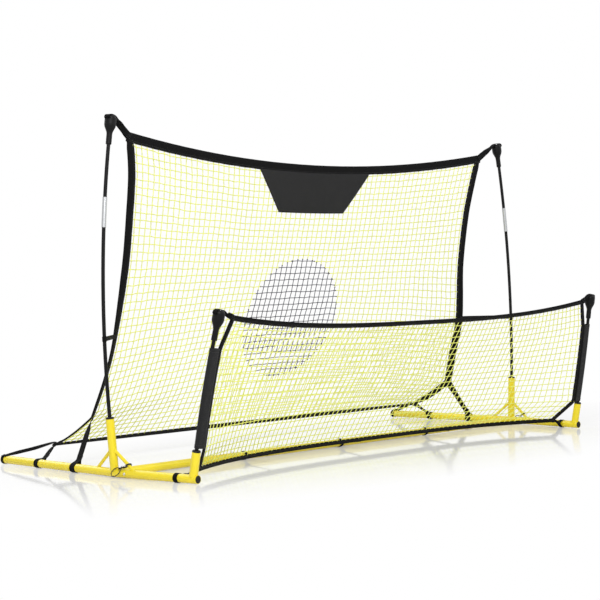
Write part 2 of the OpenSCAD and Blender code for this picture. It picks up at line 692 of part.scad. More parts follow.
// A strap sewn to a net's edge at [u, v] and looped round a tube of radius r at c
loop_reach = 12;
loop_tab = 16;
loop_steps = 18;
function loop_line(e, f, c, r, tab) =
    let (near = r + loop_reach, half = (web_t + web_gap) / 2, open = acos(r / near), q = c + e * near)
    concat([q + f * half],
        [for (k = [0:loop_steps]) let (a = open + (360 - 2 * open) * k / loop_steps)
            c + r * (e * cos(a) + f * sin(a))],
        [q - f * half, q + e * tab - f * half]);
module strap(which, u, v, c, n, tube, width, edge_w) {
    p = net_point(which, u, v);
    f = facing(which, u, v);
    toward = c - p;
    side = toward * f < 0 ? -1 : 1;
    out = unit(toward - f * (toward * f));
    lift = f * side * (bind_t / 2 + web_gap + web_t / 2);
    tip = p + out * edge_w * 0.75 + lift;
    e = unit((tip - c) - n * ((tip - c) * n));
    g = cross(n, e);
    w = cross(f, out);
    loop = loop_line(e, g, c, tube + web_gap + web_t / 2, loop_tab);
    start_w = w * (w * n < 0 ? -1 : 1);
    line = concat([p + lift, tip], [for (k = [1:3]) blend(tip, loop[0], k / 4)], loop);
    wide = concat([start_w, start_w], [for (k = [1:3]) unit(blend(start_w, n, k / 4))],
        [for (q = loop) n]);
    color(web_black) ribbon(line, wide, width, web_t);
}
// The band of webbing that passes through a cap and holds a net's corner on both faces
module corner_strap(which, crown_at, x, y, z, width) {
    p = net_point(which, 0, 0);
    f = facing(which, 0, 0);
    c = crown_at;
    toward = c - p;
    out = unit(toward - f * (toward * f));
    w = cross(f, out);
    hold = bind_t / 2 + web_gap + web_t / 2;
    head = cap_head_d / 2;
    over = -saddle + web_gap + web_t / 2;
    under = slot_z + slot_h / 2 - cap_len;
    mid_z = (over + under) / 2;
    near = c + x * (head + 9) + z * (mid_z - 2);
    far = p + out * width * 0.8;
    y_side = y * (w * y < 0 ? -1 : 1);
    mids = [for (k = [0.33, 0.67]) blend(near, far, k)];
    mid_w = [for (k = [0.33, 0.67]) unit(blend(y_side, w, k))];
    course = unit(far - near);
    function offs(wd) = unit(cross(wd, course));
    flip = offs(y_side) * z < 0 ? -1 : 1;
    turn = offs(w) * f < 0 ? -1 : 1;
    low_leg = [p - f * turn * flip * hold, far - f * turn * flip * hold,
        mids[1] - offs(mid_w[1]) * flip * hold, mids[0] - offs(mid_w[0]) * flip * hold,
        near - offs(y_side) * flip * hold];
    high_leg = [near + offs(y_side) * flip * hold,
        mids[0] + offs(mid_w[0]) * flip * hold, mids[1] + offs(mid_w[1]) * flip * hold,
        far + f * turn * flip * hold, p + f * turn * flip * hold];
    bar = [[head + 1, under], [-head - 0.5, under], [-head - 1.7, under + 2.2],
        [-head - 0.6, -saddle - 1.2], [-head + 3.6, over + 0.6], [0, over], [head - 4, over]];
    line = concat(low_leg, [for (b = bar) c + x * b[0] + z * b[1]], high_leg);
    wides = concat([w, w, mid_w[1], mid_w[0], y_side], [for (b = bar) y_side],
        [y_side, mid_w[0], mid_w[1], w, w]);
    color(web_black) ribbon(line, wides, width, web_t);
}
function main_cap_dir(v) =
    tilt(pole_dir(v, deg(main_arc, main_bend)), -main_back, -main_out);
function low_cap_dir(v) = tilt(pole_dir(v, deg(low_arc, low_bend)), low_fwd, -low_out);
function pole_dir(v, turn) =
    [v[0] * cos(turn) + v[2] * sin(turn), v[1], v[2] * cos(turn) - v[0] * sin(turn)];

// Flat fabric sleeve round a low pole, drawn in towards the net
module sleeve() {
    sleeve_play = 0.6;
    arcs = 8;
    module skin(grow, inner_edge, half_edge, from, to) {
        r = pole_d / 2 + sleeve_play + grow;
        outline = concat([for (k = [0:arcs]) let (a = 90 + 180 * k / arcs) [r * cos(a), r * sin(a)]],
            [[inner_edge, -half_edge], [inner_edge, half_edge]]);
        stops = 4;
        sweep([for (m = [0:stops])
            let (s = blend(from, to, m / stops), turn = deg(s - low_mouth, low_bend),
                o = pole_line(s, low_mouth, low_arc, low_bend))
            [for (p = outline) o + [p[0] * cos(turn), p[1], -p[0] * sin(turn)]]]);
    }
    color(cloth_black) low_frame() difference() {
        skin(web_t, sleeve_back, web_t + 0.3, sleeve_low, sleeve_high);
        skin(0, sleeve_back - web_t, 0.3, sleeve_low - 1, sleeve_high + 1);
    }
}
main_stops = [for (i = [0:main_cols]) i / main_cols];
low_stops = [for (i = [0:low_cols]) i / low_cols];
// Shares down the side edge, kept clear of the bindings along the top and bottom
function side_stops(rows, clear_top, clear_low) =
    concat([clear_top], [for (j = [1:rows - 1]) j / rows], [1 - clear_low]);
// Share of a side edge that its binding leaves clear where it meets another binding
function clear_share(which, width, v0, v1) =
    0.75 * width * abs(v1 - v0) / norm(net_point(which, 0, v1) - net_point(which, 0, v0));
rear_dir = [sin(rear_turn), cos(rear_turn), 0];
front_dir = [sin(front_turn), -cos(front_turn), 0];
function rear_at(y) = t_joint + rear_dir * y / cos(rear_turn);
function front_at(y) = t_joint + front_dir * y / cos(front_turn);
tail_band_at = rear_len - tail_band_in;
module knee_strap() {
    strap(0, 0, knee_row / main_rows, rear_at(knee_band_at), rear_dir, tube_r, knee_strap_w, bind_w);
}
module heel_straps() {
    for (side = [0, 1]) mirror([side, 0, 0])
        strap(0, 0, 1, rear_at(heel_band_at), rear_dir, tube_r, strap_w, bind_w);
}
mid_strap_z = rail_z + mid_strap_up;
mid_strap_v = lookup(mid_strap_z, [for (k = [20:-1:0]) [main_side(k / 20)[2], k / 20]]);
mid_strap_s = lookup(mid_strap_z, [for (k = [0:20]) [main_pole_at(main_top * k / 20)[2], main_top * k / 20]]);
mid_strap_n = unit(main_pole_at(mid_strap_s + 5) - main_pole_at(mid_strap_s - 5));
module mid_straps() {
    for (side = [0, 1]) mirror([side, 0, 0])
        strap(0, 0, mid_strap_v, main_pole_at(mid_strap_s), mid_strap_n, pole_d / 2, strap_w, bind_w);
}
// The net's lower edges run on as one strap to a band round the rail's rear end
module tail_straps() {
    p = net_point(0, 0, 1);
    f = facing(0, 0, 1);
    c = rear_at(tail_band_at);
    up = unit([0.6, 0, 1]);
    w0 = unit(cross(f, rear_dir));
    w1 = cross(rear_dir, up);
    over = c + up * (tube_r + 2 * web_gap + 1.5 * web_t);
    lift = f * -(bind_t / 2 + web_gap + web_t / 2);
    line = [p + lift, p + lift + rear_dir * bind_w * 0.8, blend(p, over, 0.55) + [0, 0, 2],
        over - rear_dir * strap_w * 0.8, over + rear_dir * strap_w * 0.4];
    sign = w0 * w1 < 0 ? -1 : 1;
    wide = [w0, w0, unit(w0 + w1 * sign), w1 * sign, w1 * sign];
    for (side = [0, 1]) mirror([side, 0, 0]) color(web_black) {
        ribbon(line, wide, strap_w, web_t);
        rear_frame() translate([0, 0, tail_band_at / cos(rear_turn)]) band(tube_r, strap_w);
    }
}
module foot_straps() {
    for (side = [0, 1]) mirror([side, 0, 0])
        strap(1, 0, 1, front_at(foot_band_at), front_dir, tube_r, low_bind_w, low_bind_w);
}
module cross_ties() {
    for (x = [-tie_at, 0, tie_at])
        strap(1, share_at(1, 1, x), 1, [x, 0, rail_z], [1, 0, 0], tube_r, strap_w - 2, low_bind_w);
}
module main_corner_strap() {
    turn = main_cap_turn;
    corner_strap(0, main_crown, main_cap_dir([cos(turn), sin(turn), 0]),
        main_cap_dir([-sin(turn), cos(turn), 0]), main_cap_dir([0, 0, 1]), corner_strap_w);
}
module low_corner_straps() {
    for (side = [0, 1]) mirror([side, 0, 0])
        corner_strap(1, low_crown, low_cap_dir([1, 0, 0]), low_cap_dir([0, 1, 0]),
            low_cap_dir([0, 0, 1]), low_bind_w);
}

module main_across(edge) { color(web_black) fold(0, edge, main_stops, bind_w); }
module low_across(edge) { color(web_black) fold(1, edge, low_stops, low_bind_w); }
module main_side_binding() {
    top_clear = clear_share(0, bind_w, 0, 1 / main_rows);
    low_clear = clear_share(0, bind_w, 1 - 1 / main_rows, 1);
    color(web_black) fold(0, 2, side_stops(main_rows, top_clear, low_clear), bind_w);
}
module low_side_binding() {
    top_clear = clear_share(1, low_bind_w, 0, 1 / low_rows);
    low_clear = clear_share(1, low_bind_w, 1 - 1 / low_rows, 1);
    color(web_black) fold(1, 2, side_stops(low_rows, top_clear, low_clear), low_bind_w);
}

// --- Snap buttons, hooks and rings ----------------------------------------------------------
// Domed pin with a flange that holds it in the neck; +Z is outwards from the tube's axis
module snap_button() {
    r = button_d / 2;
    top = tube_r + button_out;
    seat = sqrt(pow(neck_r - tube_wall, 2) - pow(r + 1.2, 2)) - 0.15;
    color(bare_metal) rotate_extrude() polygon(concat(
        [[0, seat - 1.4], [r + 1.2, seat - 1.4], [r + 1.2, seat], [r, seat]],
        [for (a = [0:15:90]) [r - 2 + 2 * cos(a), top - 2 + 2 * sin(a)]], [[0, top]]));
}
module front_button() {
    front_frame() translate([0, 0, front_arm - button_in]) rotate([0, -90, 0]) snap_button();
}
module cross_button() { translate([-seam_x - button_in, 0, rail_z]) snap_button(); }

// The hook hangs on the front brace rod; its eye lies over the rail's outer shoulder
brace_dir = unit(brace_head - front_brace_foot);
hook_rise = 0.35;
hook_at = blend(front_brace_foot, brace_head, hook_rise);
hook_reach = 28;
hook_x = unit([-12, 21.5, -9.5]);
hook_z = unit(brace_dir - hook_x * (brace_dir * hook_x));
hook_hole = brace_d / 2 + 1.7;
hook_rim = hook_hole + 2.6;
gate_from = 6.4;
gate_pivot = 17.8;
gate_y = hook_hole + 0.9;
eye_hole = 3.3;
eye_t = 2.4;
hook_back = 6;
pin_d = 1.6;
module hook_outline() {
    difference() {
        union() {
            circle(r = hook_rim);
            polygon([[0, -hook_rim], [gate_pivot + 3, -hook_back - 1], [gate_pivot + 3, -2],
                [gate_pivot - 1.8, -hook_back + 1.6], [0, -hook_hole]]);
            translate([0, hook_hole]) square([gate_from - 0.3, hook_rim - hook_hole]);
            translate([gate_pivot - 1.8, -hook_back]) square([4.8, hook_back + hook_rim - 0.6]);
            translate([gate_pivot, -2.6]) square([hook_reach - gate_pivot - 4, 5.2]);
        }
        circle(r = hook_hole);
        polygon([[0, -hook_hole], [gate_pivot - 1.8, -hook_back + 1.6], [gate_pivot - 1.8, hook_hole],
            [0, hook_hole]]);
        translate([gate_from - 0.3, 0]) square([gate_pivot - gate_from - 1.7, hook_rim + 1]);
    }
}
module snap_hook() {
    color(plastic_black) frame_at(hook_at, hook_x, hook_z) difference() {
        union() {
            translate([0, 0, -hook_t / 2]) linear_extrude(hook_t) hook_outline();
            translate([hook_reach, 0, -eye_t / 2]) cylinder(r = eye_hole + 2.2, h = eye_t);
        }
        translate([hook_reach, 0, -hook_t]) cylinder(r = eye_hole, h = 2 * hook_t);
        translate([gate_pivot - 3.2, gate_y - 3, -1.1]) cube([6, 8, 2.2]);
        translate([gate_pivot, gate_y, -hook_t]) cylinder(d = pin_d + 0.1, h = 2 * hook_t);
    }
}
module hook_gate() {
    color(dark_metal) frame_at(hook_at, hook_x, hook_z) {
        difference() {
            translate([gate_from, gate_y - 1.1, -0.8])
                cube([gate_pivot - gate_from, 2.2, 1.6]);
            translate([gate_pivot, gate_y, -1]) cylinder(d = 2, h = 2);
        }
        translate([gate_pivot, gate_y, -0.8]) cylinder(r = 1.9, h = 1.6);
        translate([gate_pivot, gate_y, -hook_t / 2]) cylinder(d = pin_d, h = hook_t);
    }
}
// The ring leans outwards from the rail, with its wire through the hook's eye
ring_r = (ring_d - ring_wire) / 2;
ring_normal = unit([0.74, 0, -0.67]);
ring_hang = unit([-0.56, 0.55, -0.62]);
ring_eye = hook_at + hook_x * (hook_reach + 0.6);
ring_axis = unit(cross(ring_normal, ring_hang));
module anchor_ring() {
    out = unit(cross(ring_axis, ring_normal));
    color(plastic_black) frame_at(ring_eye - out * (ring_hang * out < 0 ? 1 : -1) * ring_r,
        out, ring_normal) rotate_extrude() translate([ring_r, 0]) circle(d = ring_wire);
}

side_rail();  // left_side_rail
on_right() side_rail();  // right_side_rail
front_rail();  // left_front_rail
on_right() front_rail();  // right_front_rail
cross_arm_tube();  // left_cross_arm
on_right() cross_arm_tube();  // right_cross_arm
cross_tube();
main_post_tube();  // left_main_post
on_right() main_post_tube();  // right_main_post
low_post_tube();  // left_low_post
on_right() low_post_tube();  // right_low_post
braces();  // left_braces
on_right() braces();  // right_braces
end_plugs();
post_collars();
lower_pole();  // left_lower_pole
on_right() lower_pole();  // right_lower_pole
upper_pole();  // left_upper_pole
on_right() upper_pole();  // right_upper_pole
pole_ferrules();
low_pole();  // left_low_pole
on_right() low_pole();  // right_low_pole
main_cap();  // left_main_cap
on_right() main_cap();  // right_main_cap
low_cap();  // left_low_cap
on_right() low_cap();  // right_low_cap
color(net_yellow) whole_net(0, main_cols, main_rows);  // main_net
target();  // target_net
panel();  // top_panel
main_across(0);  // main_top_binding
main_side_binding();  // main_left_binding
on_right() main_side_binding();  // main_right_binding
main_across(1);  // main_bottom_binding
main_corner_strap();  // left_corner_strap
on_right() main_corner_strap();  // right_corner_strap
mid_straps();
knee_strap();  // left_knee_strap
on_right() knee_strap();  // right_knee_strap
heel_straps();
tail_straps();
color(net_yellow) whole_net(1, low_cols, low_rows);  // low_net
low_across(0);  // low_top_binding
low_across(1);  // low_bottom_binding
low_side_binding();  // left_low_binding
on_right() low_side_binding();  // right_low_binding
sleeve();  // left_sleeve
on_right() sleeve();  // right_sleeve
low_corner_straps();
foot_straps();
cross_ties();
front_button();  // left_front_button
on_right() front_button();  // right_front_button
cross_button();  // left_cross_button
on_right() cross_button();  // right_cross_button
snap_hook();  // left_snap_hook
on_right() snap_hook();  // right_snap_hook
hook_gate();  // left_hook_gate
on_right() hook_gate();  // right_hook_gate
anchor_ring();  // left_anchor_ring
on_right() anchor_ring();  // right_anchor_ring
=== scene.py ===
import math

import bmesh
import bpy
import numpy as np
from mathutils import Matrix, Vector, noise


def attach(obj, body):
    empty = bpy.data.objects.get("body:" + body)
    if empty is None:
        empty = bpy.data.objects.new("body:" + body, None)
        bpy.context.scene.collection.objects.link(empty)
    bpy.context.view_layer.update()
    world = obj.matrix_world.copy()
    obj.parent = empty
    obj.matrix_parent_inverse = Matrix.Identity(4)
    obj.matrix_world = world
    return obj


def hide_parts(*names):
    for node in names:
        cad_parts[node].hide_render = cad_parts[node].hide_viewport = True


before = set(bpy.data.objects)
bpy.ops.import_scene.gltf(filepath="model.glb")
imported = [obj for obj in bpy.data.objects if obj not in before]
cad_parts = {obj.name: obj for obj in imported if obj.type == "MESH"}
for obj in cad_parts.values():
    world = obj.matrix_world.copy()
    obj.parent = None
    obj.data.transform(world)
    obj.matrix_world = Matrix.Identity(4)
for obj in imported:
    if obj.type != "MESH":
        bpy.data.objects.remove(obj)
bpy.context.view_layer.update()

scene = bpy.context.scene
scene.view_settings.view_transform = "Standard"
print("frame loaded:", len(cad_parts), "CAD nodes")

# Sizes of the base, the poles and the edges of both nets, in millimetres
base = {"railGap": 2000, "railZ": 14, "rearLen": 552, "rearToe": 30, "frontLen": 297, "frontToe": 26, "tubeR": 12.5}
tallPole = {"mouth": 162, "arc": 795, "bend": 3400, "lean": (-1.7, -4.3), "radius": 5.5}
lowPole = {"mouth": 83, "arc": 313, "bend": 3000, "lean": (10.7, 0), "radius": 5.5}
poleCap = {"length": 88, "head": 17.5, "saddle": 3.5, "slotZ": 73.6, "slotH": 3.9}
webbing = {"thick": 1.3, "gap": 0.2, "bindingT": 6.6, "tallWidth": 29.5, "footWidth": 15, "lowWidth": 16}
thick, gap = webbing["thick"], webbing["gap"]


def vec(*values):
    return np.array(values, float)


def unit(v):
    return v / np.linalg.norm(v)


def between(a, b, t):
    return a + (b - a) * t


def sign(a, b):
    # -1 for directions that point away from each other
    return -1 if np.dot(a, b) < 0 else 1


def tilt(p, aboutX, aboutY):
    a, b = math.radians(aboutX), math.radians(aboutY)
    y = p[1] * math.cos(a) - p[2] * math.sin(a)
    z = p[1] * math.sin(a) + p[2] * math.cos(a)
    return vec(p[0] * math.cos(b) + z * math.sin(b), y, z * math.cos(b) - p[0] * math.sin(b))


tJoint = vec(-base["railGap"] / 2, 0, base["railZ"])
lowFoot = tJoint + vec(base["frontToe"], -base["frontLen"], 0)
rearDir = unit(vec(base["rearToe"], base["rearLen"], 0))
frontDir = unit(vec(base["frontToe"], -base["frontLen"], 0))


def poleLine(s, pole):
    foot, arc, bend = pole["mouth"], pole["arc"], pole["bend"]
    if s <= foot:
        return vec(0, 0, s)
    turn, rest = min(s - foot, arc) / bend, max(s - foot - arc, 0)
    return vec(bend * (1 - math.cos(turn)) + rest * math.sin(turn), 0,
               foot + bend * math.sin(turn) + rest * math.cos(turn))


def tallPoleAt(s):
    return tJoint + tilt(poleLine(s, tallPole), *tallPole["lean"])


def byLowPole(v):
    return lowFoot + tilt(v, *lowPole["lean"])


def capDir(v, pole):
    # a direction on the cap, turned with the pole's bent end
    turn = pole["arc"] / pole["bend"]
    c, s = math.cos(turn), math.sin(turn)
    return tilt(vec(v[0] * c + v[2] * s, v[1], v[2] * c - v[0] * s), *pole["lean"])


tallCrown = tallPoleAt(tallPole["mouth"] + tallPole["arc"] + poleCap["length"])
lowCrown = byLowPole(poleLine(lowPole["mouth"] + lowPole["arc"] + poleCap["length"], lowPole))


def lengths(points):
    # how far along the line each point is
    return np.concatenate([[0], np.cumsum([np.linalg.norm(b - a) for a, b in zip(points, points[1:])])])


def along(points, f):
    # a smooth line through the points, at a share f of its length
    runs = lengths(points)
    s = f * runs[-1]
    i = min(max(int(np.searchsorted(runs, s, "left")) - 1, 0), len(points) - 2)
    t = (s - runs[i]) / (runs[i + 1] - runs[i])
    p1, p2 = points[i], points[i + 1]
    p0 = points[i - 1] if i > 0 else 2 * p1 - p2
    p3 = points[i + 2] if i + 2 < len(points) else 2 * p2 - p1
    return p1 + 0.5 * t * ((p2 - p0) + t * ((2 * p0 - 5 * p1 + 4 * p2 - p3) + t * (3 * p1 - p0 - 3 * p2 + p3)))


# The tall net's side edge runs from its corner over a knee to the heel
tallEdge = {"corner": (90, 20, -60), "knee": (105, 219, 145), "heel": (102, 385, 50), "topSag": 66, "topBack": 35,
            "bottomPull": 15, "bottomRise": 3, "bow": 38, "round": 2, "kneeAt": 9 / 11, "heelBow": (0, -0.02, -0.01),
            "bows": ((0.12, 0.026, 0.006), (0.26, 0.041, 0.008), (0.47, 0.046, 0.019), (0.71, 0.026, 0.033),
                     (0.86, 0.019, 0.019))}  # share of the way to the knee, bow outwards, bow forwards
tallCorner = tallCrown + vec(*tallEdge["corner"])
knee = tJoint + vec(*tallEdge["knee"])
heel = tJoint + vec(*tallEdge["heel"])
sideSpan = np.linalg.norm(knee - tallCorner)
bowed = [between(tallCorner, knee, at) + vec(out, -ahead, 0) * sideSpan for at, out, ahead in tallEdge["bows"]]
upperSide = [tallCorner] + bowed + [knee]
lowerSide = [knee, between(knee, heel, 0.5) + vec(*tallEdge["heelBow"]) * np.linalg.norm(heel - knee), heel]
tallTop = vec(tallCorner[1] + tallEdge["topBack"], tallCorner[2] - tallEdge["topSag"])  # y and z at the middle
tallFoot = vec(heel[1] - tallEdge["bottomPull"], heel[2] + tallEdge["bottomRise"])


def tallSide(v):
    k = tallEdge["kneeAt"]
    return along(upperSide, v / k) if v <= k else along(lowerSide, (v - k) / (1 - k))


def acrossNet(side, mid, u, roundness):
    # from the left edge over the middle to the right edge
    u = np.asarray(u, float)
    w = 1 - np.abs(2 * u - 1) ** roundness
    return np.stack([side[0] * (1 - 2 * u), between(side[1], mid[0], w), between(side[2], mid[1], w)], -1)


def tallPoint(u, v):
    mid = between(tallTop, tallFoot, v) - vec(tallEdge["bow"] * 4 * v * (1 - v), 0)
    return acrossNet(tallSide(v), mid, u, tallEdge["round"])


# The low net's side edge runs beside the sleeve on its pole
lowEdge = {"corner": (54, 2, -25), "foot": (73, 50, 17), "sag": 43, "topBack": 25, "pull": 147, "round": 3}
sleeve = {"from": 89, "length": 285, "width": 28, "play": 0.6, "cloth": 1.3, "gap": 0.9, "overlap": 2.5, "seam": 3.0,
          "creases": 1.6, "creaseWide": 1.3, "creaseLong": 21, "creaseEnd": 1.2, "across": (0.2, 0.4, 0.6, 0.8, 0.97),
          "lip": 0.6, "hem": 12, "hemLift": 0.35, "hemSewn": 10, "threadLift": 0.1, "seamLift": 0.15,
          "seamRows": (16, 20), "steps": 72}
sleeveBack = sleeve["width"] - lowPole["radius"] - sleeve["cloth"]


def besidePole(s):
    turn = (s - lowPole["mouth"]) / lowPole["bend"]
    reach = lowPole["bend"] - (sleeveBack + sleeve["gap"] + webbing["lowWidth"] / 2)
    return byLowPole(vec(lowPole["bend"] - reach * math.cos(turn), 0, lowPole["mouth"] + reach * math.sin(turn)))


lowCorner = lowCrown + vec(*lowEdge["corner"])
footCorner = lowFoot + vec(*lowEdge["foot"])
sleeved = [besidePole(sleeve["from"] + sleeve["length"] * k / 3) for k in (3, 2, 1, 0)]
lowSide = [lowCorner] + sleeved + [footCorner]
lowSpans = len(lowSide) - 1
lowTop = vec(lowCorner[1] + lowEdge["topBack"], lowCorner[2] - lowEdge["sag"])
lowFootMid = vec(footCorner[1] + lowEdge["pull"], footCorner[2])


def lowPoint(u, v):
    row = min(v * lowSpans, lowSpans)
    i = min(int(row), lowSpans - 1)
    return acrossNet(between(lowSide[i], lowSide[i + 1], row - i), between(lowTop, lowFootMid, v), u, lowEdge["round"])


def across(net, u, v, step=1 / 32):
    return unit(net(min(u + step, 1), v) - net(max(u - step, 0), v))


def down(net, u, v, step=1 / 24):
    return unit(net(u, min(v + step, 1)) - net(u, max(v - step, 0)))


def facing(net, u, v):
    return unit(np.cross(down(net, u, v), across(net, u, v)))


# The straps pull the tall net's side edges forward, so the lower run of their bindings is turned
sideTwist = {"angle": 19, "from": 0.4, "over": 0.2, "ease": 0.05, "pivot": 12, "tuck": 10}


def edgePlace(net, u, v, tuck=0):
    p, face = net(u, v), facing(net, u, v)
    if net is not tallPoint or u not in (0, 1):
        return p, face
    ramp = min(1, max(0, v - sideTwist["from"]) / sideTwist["over"], (1 - v) / sideTwist["ease"])
    angle = math.radians(sideTwist["angle"]) * ramp
    c, s = math.cos(angle), math.sin(angle)
    out = unit(np.cross(down(net, u, v), face)) * (1 if u == 0 else -1)
    turned = out * c + face * s
    return p + (turned - out) * sideTwist["pivot"] - turned * tuck, face * c - out * s


class Field:
    # a node's socket that takes part in arithmetic
    def __init__(self, graph, socket):
        self.graph, self.socket = graph, socket

    def maths(self, operation, first, second=None):
        sockets = {0: first} if second is None else {0: first, 1: second}
        return self.graph.node("ShaderNodeMath", sockets, operation=operation)

    def __add__(self, other):
        return self.maths("ADD", self, other)

    def __sub__(self, other):
        return self.maths("SUBTRACT", self, other)

    def __rsub__(self, other):
        return self.maths("SUBTRACT", other, self)

    def __mul__(self, other):
        return self.maths("MULTIPLY", self, other)

    __radd__ = __add__
    __rmul__ = __mul__

    def wave(self, pitch, phase=0.0):
        # a ripple from 0 to 1 that repeats every pitch
        return self.maths("SINE", self * (2 * math.pi / pitch) + phase) * 0.5 + 0.5

    def clamp(self):
        return self.graph.node("ShaderNodeClamp", {"Value": self})

    def __getitem__(self, name):
        # another output of the same node
        return Field(self.graph, self.socket.node.outputs[name])


class Graph:
    def __init__(self, tree):
        self.tree = tree

    def node(self, kind, sockets=None, output=0, **settings):
        made = self.tree.nodes.new(kind)
        for key, value in settings.items():
            setattr(made, key, value)
        for key, value in (sockets or {}).items():
            for one in value if isinstance(value, list) else [value]:
                if isinstance(one, Field):
                    self.tree.links.new(one.socket, made.inputs[key])
                else:
                    made.inputs[key].default_value = one
        return Field(self, made.outputs[output]) if len(made.outputs) else made


class Finish(Graph):
    # a material: constants go on the shader's own sockets, fields are linked to them
    def __init__(self, name, **constants):
        self.material = bpy.data.materials.new(name)
        self.material.use_nodes = True
        super().__init__(self.material.node_tree)
        self.shader = self.tree.nodes["Principled BSDF"]
        for key, value in constants.items():
            self.shader.inputs[key.replace("_", " ")].default_value = value
        self.place = self.node("ShaderNodeTexCoord", output="Object")

    def noise(self, scale, detail=3.0, stretch=None):
        at = self.place
        if stretch:
            at = self.node("ShaderNodeMapping", {"Vector": at, "Scale": stretch})
        return self.node("ShaderNodeTexNoise", {"Vector": at, "Scale": scale, "Detail": detail})

    def made(self, blend, first, second, roughness, height, strength, distance):
        # two blended colours, a roughness, and a bump with its strength and its depth in metres
        bump = self.node("ShaderNodeBump", {"Height": height, "Strength": strength, "Distance": distance})
        colour = self.node("ShaderNodeMix", {0: blend, 6: first, 7: second}, 2, data_type="RGBA")
        for name, field in (("Base Color", colour), ("Roughness", roughness), ("Normal", bump)):
            self.tree.links.new(field.socket, self.shader.inputs[name])
        return self.material

    def weave(self):
        # along and across the cloth, in metres
        along = self.node("ShaderNodeSeparateXYZ", {0: self.node("ShaderNodeUVMap", uv_map="weave")})
        return along, along["Y"]


def shade(red, green, blue):
    return (red, green, blue, 1)


def lighter(colour, times, lift=0.0):
    return shade(*(min(1, c * times + lift) for c in colour[:3]))


# Yellow powder coat on the steel tubes, with a fine peel and a little dust
powder = {"yellow": shade(0.88, 0.72, 0.013), "deep": shade(0.79, 0.60, 0.007), "peel": 620, "gloss": 0.36}


def powderCoat():
    f = Finish("yellowPowderCoat", Coat_Weight=0.25, Coat_Roughness=0.2, Specular_IOR_Level=0.5)
    cloud, peel = f.noise(7), f.noise(powder["peel"], 2)
    scuff = (f.noise(60, 6) - 0.62).clamp() * 2.2
    return f.made(cloud * 0.5 + scuff * 0.35, powder["yellow"], powder["deep"],
                  powder["gloss"] + cloud * 0.1 + scuff * 0.3, peel, 0.12, 0.0004)


# Polyester webbing: ribs across the strap, yarns along it and a soft sheen
weave = {"black": shade(0.002, 0.002, 0.0021), "worn": shade(0.009, 0.009, 0.0094), "rib": 0.0014, "yarn": 0.0011}


def webbingCloth():
    f = Finish("blackWebbing", Sheen_Weight=0.015, Sheen_Roughness=0.45, Specular_IOR_Level=0.07)
    length, width = f.weave()
    ribs = length.wave(weave["rib"])
    yarns = width.wave(weave["yarn"]) * (length.wave(2 * weave["rib"]) * 0.5 + 0.5)
    fuzz = f.noise(900, 4)
    tone = ribs * 0.35 + yarns * 0.3 + f.noise(14) * 0.35
    return f.made(tone, weave["black"], weave["worn"],
                  0.72 + fuzz * 0.2, ribs * 0.5 + yarns * 0.4 + fuzz * 0.3, 0.55, 0.0005)


# Plain woven polyester on the sleeves and the panel
cloth = {"dark": shade(0.0095, 0.0095, 0.01), "light": shade(0.024, 0.024, 0.025), "yarn": 0.0009}


def wovenCloth():
    f = Finish("blackCloth", Sheen_Weight=0.05, Sheen_Roughness=0.5, Specular_IOR_Level=0.14)
    warp, weft = (way.wave(cloth["yarn"]) for way in f.weave())
    over = warp * weft + (1 - warp) * (1 - weft)
    slub = f.noise(40, 5)
    return f.made(over * 0.5 + slub * 0.5, cloth["dark"], cloth["light"],
                  0.75 + slub * 0.15, over + slub * 0.4, 0.5, 0.0004)


# Knotted polyethylene twine
twine = {"yellow": (0.85, 0.88, 0.18), "dark": (0.04, 0.038, 0.055), "strandPitch": 0.0016}


def twineCord(name, colour):
    f = Finish(name, Specular_IOR_Level=0.4)
    lay = f.node("ShaderNodeAttribute", output="Fac", attribute_name="lay")
    twist = lay.wave(twine["strandPitch"])
    cloud = f.noise(11)
    return f.made(twist * 0.45 + cloud * 0.55, lighter(colour, 0.86), lighter(colour, 1.06, 0.004),
                  0.45 + cloud * 0.2, twist + f.noise(1400) * 0.4, 0.5, 0.0003)


# Moulded plastic, rubbed paler in places
def darkPlastic(name, colour, rough, grain, strength):
    f = Finish(name, Specular_IOR_Level=0.14)
    cloud, spark = f.noise(25), f.noise(grain, 3)
    rubbed = (f.noise(90, 5) - 0.6).clamp() * 2
    return f.made(rubbed * 0.5 + cloud * 0.25, colour, lighter(colour, 2.2, 0.004),
                  rough + cloud * 0.12 - rubbed * 0.06, spark, strength, 0.0004)


# Pulled fibreglass, with its strands along the pole
rod = {"dark": shade(0.004, 0.004, 0.0043), "light": shade(0.014, 0.014, 0.0147), "strands": (6, 6, 0.35)}


def fibreRod():
    f = Finish("fibreglassRod", Coat_Weight=0.03, Coat_Roughness=0.15, Specular_IOR_Level=0.08)
    strands = f.noise(260, 4, rod["strands"])
    return f.made(strands, rod["dark"], rod["light"], 0.34 + strands * 0.18, strands, 0.15, 0.0003)


# Bare or plated metal, with drawing lines
def brightMetal(name, colour, rough, stretch):
    f = Finish(name, Metallic=1.0)
    lines, cloud = f.noise(700, 3, stretch), f.noise(30)
    return f.made(cloud * 0.6 + lines * 0.3, colour, lighter(colour, 0.78),
                  rough + lines * 0.14 + cloud * 0.08, lines, 0.12, 0.0002)


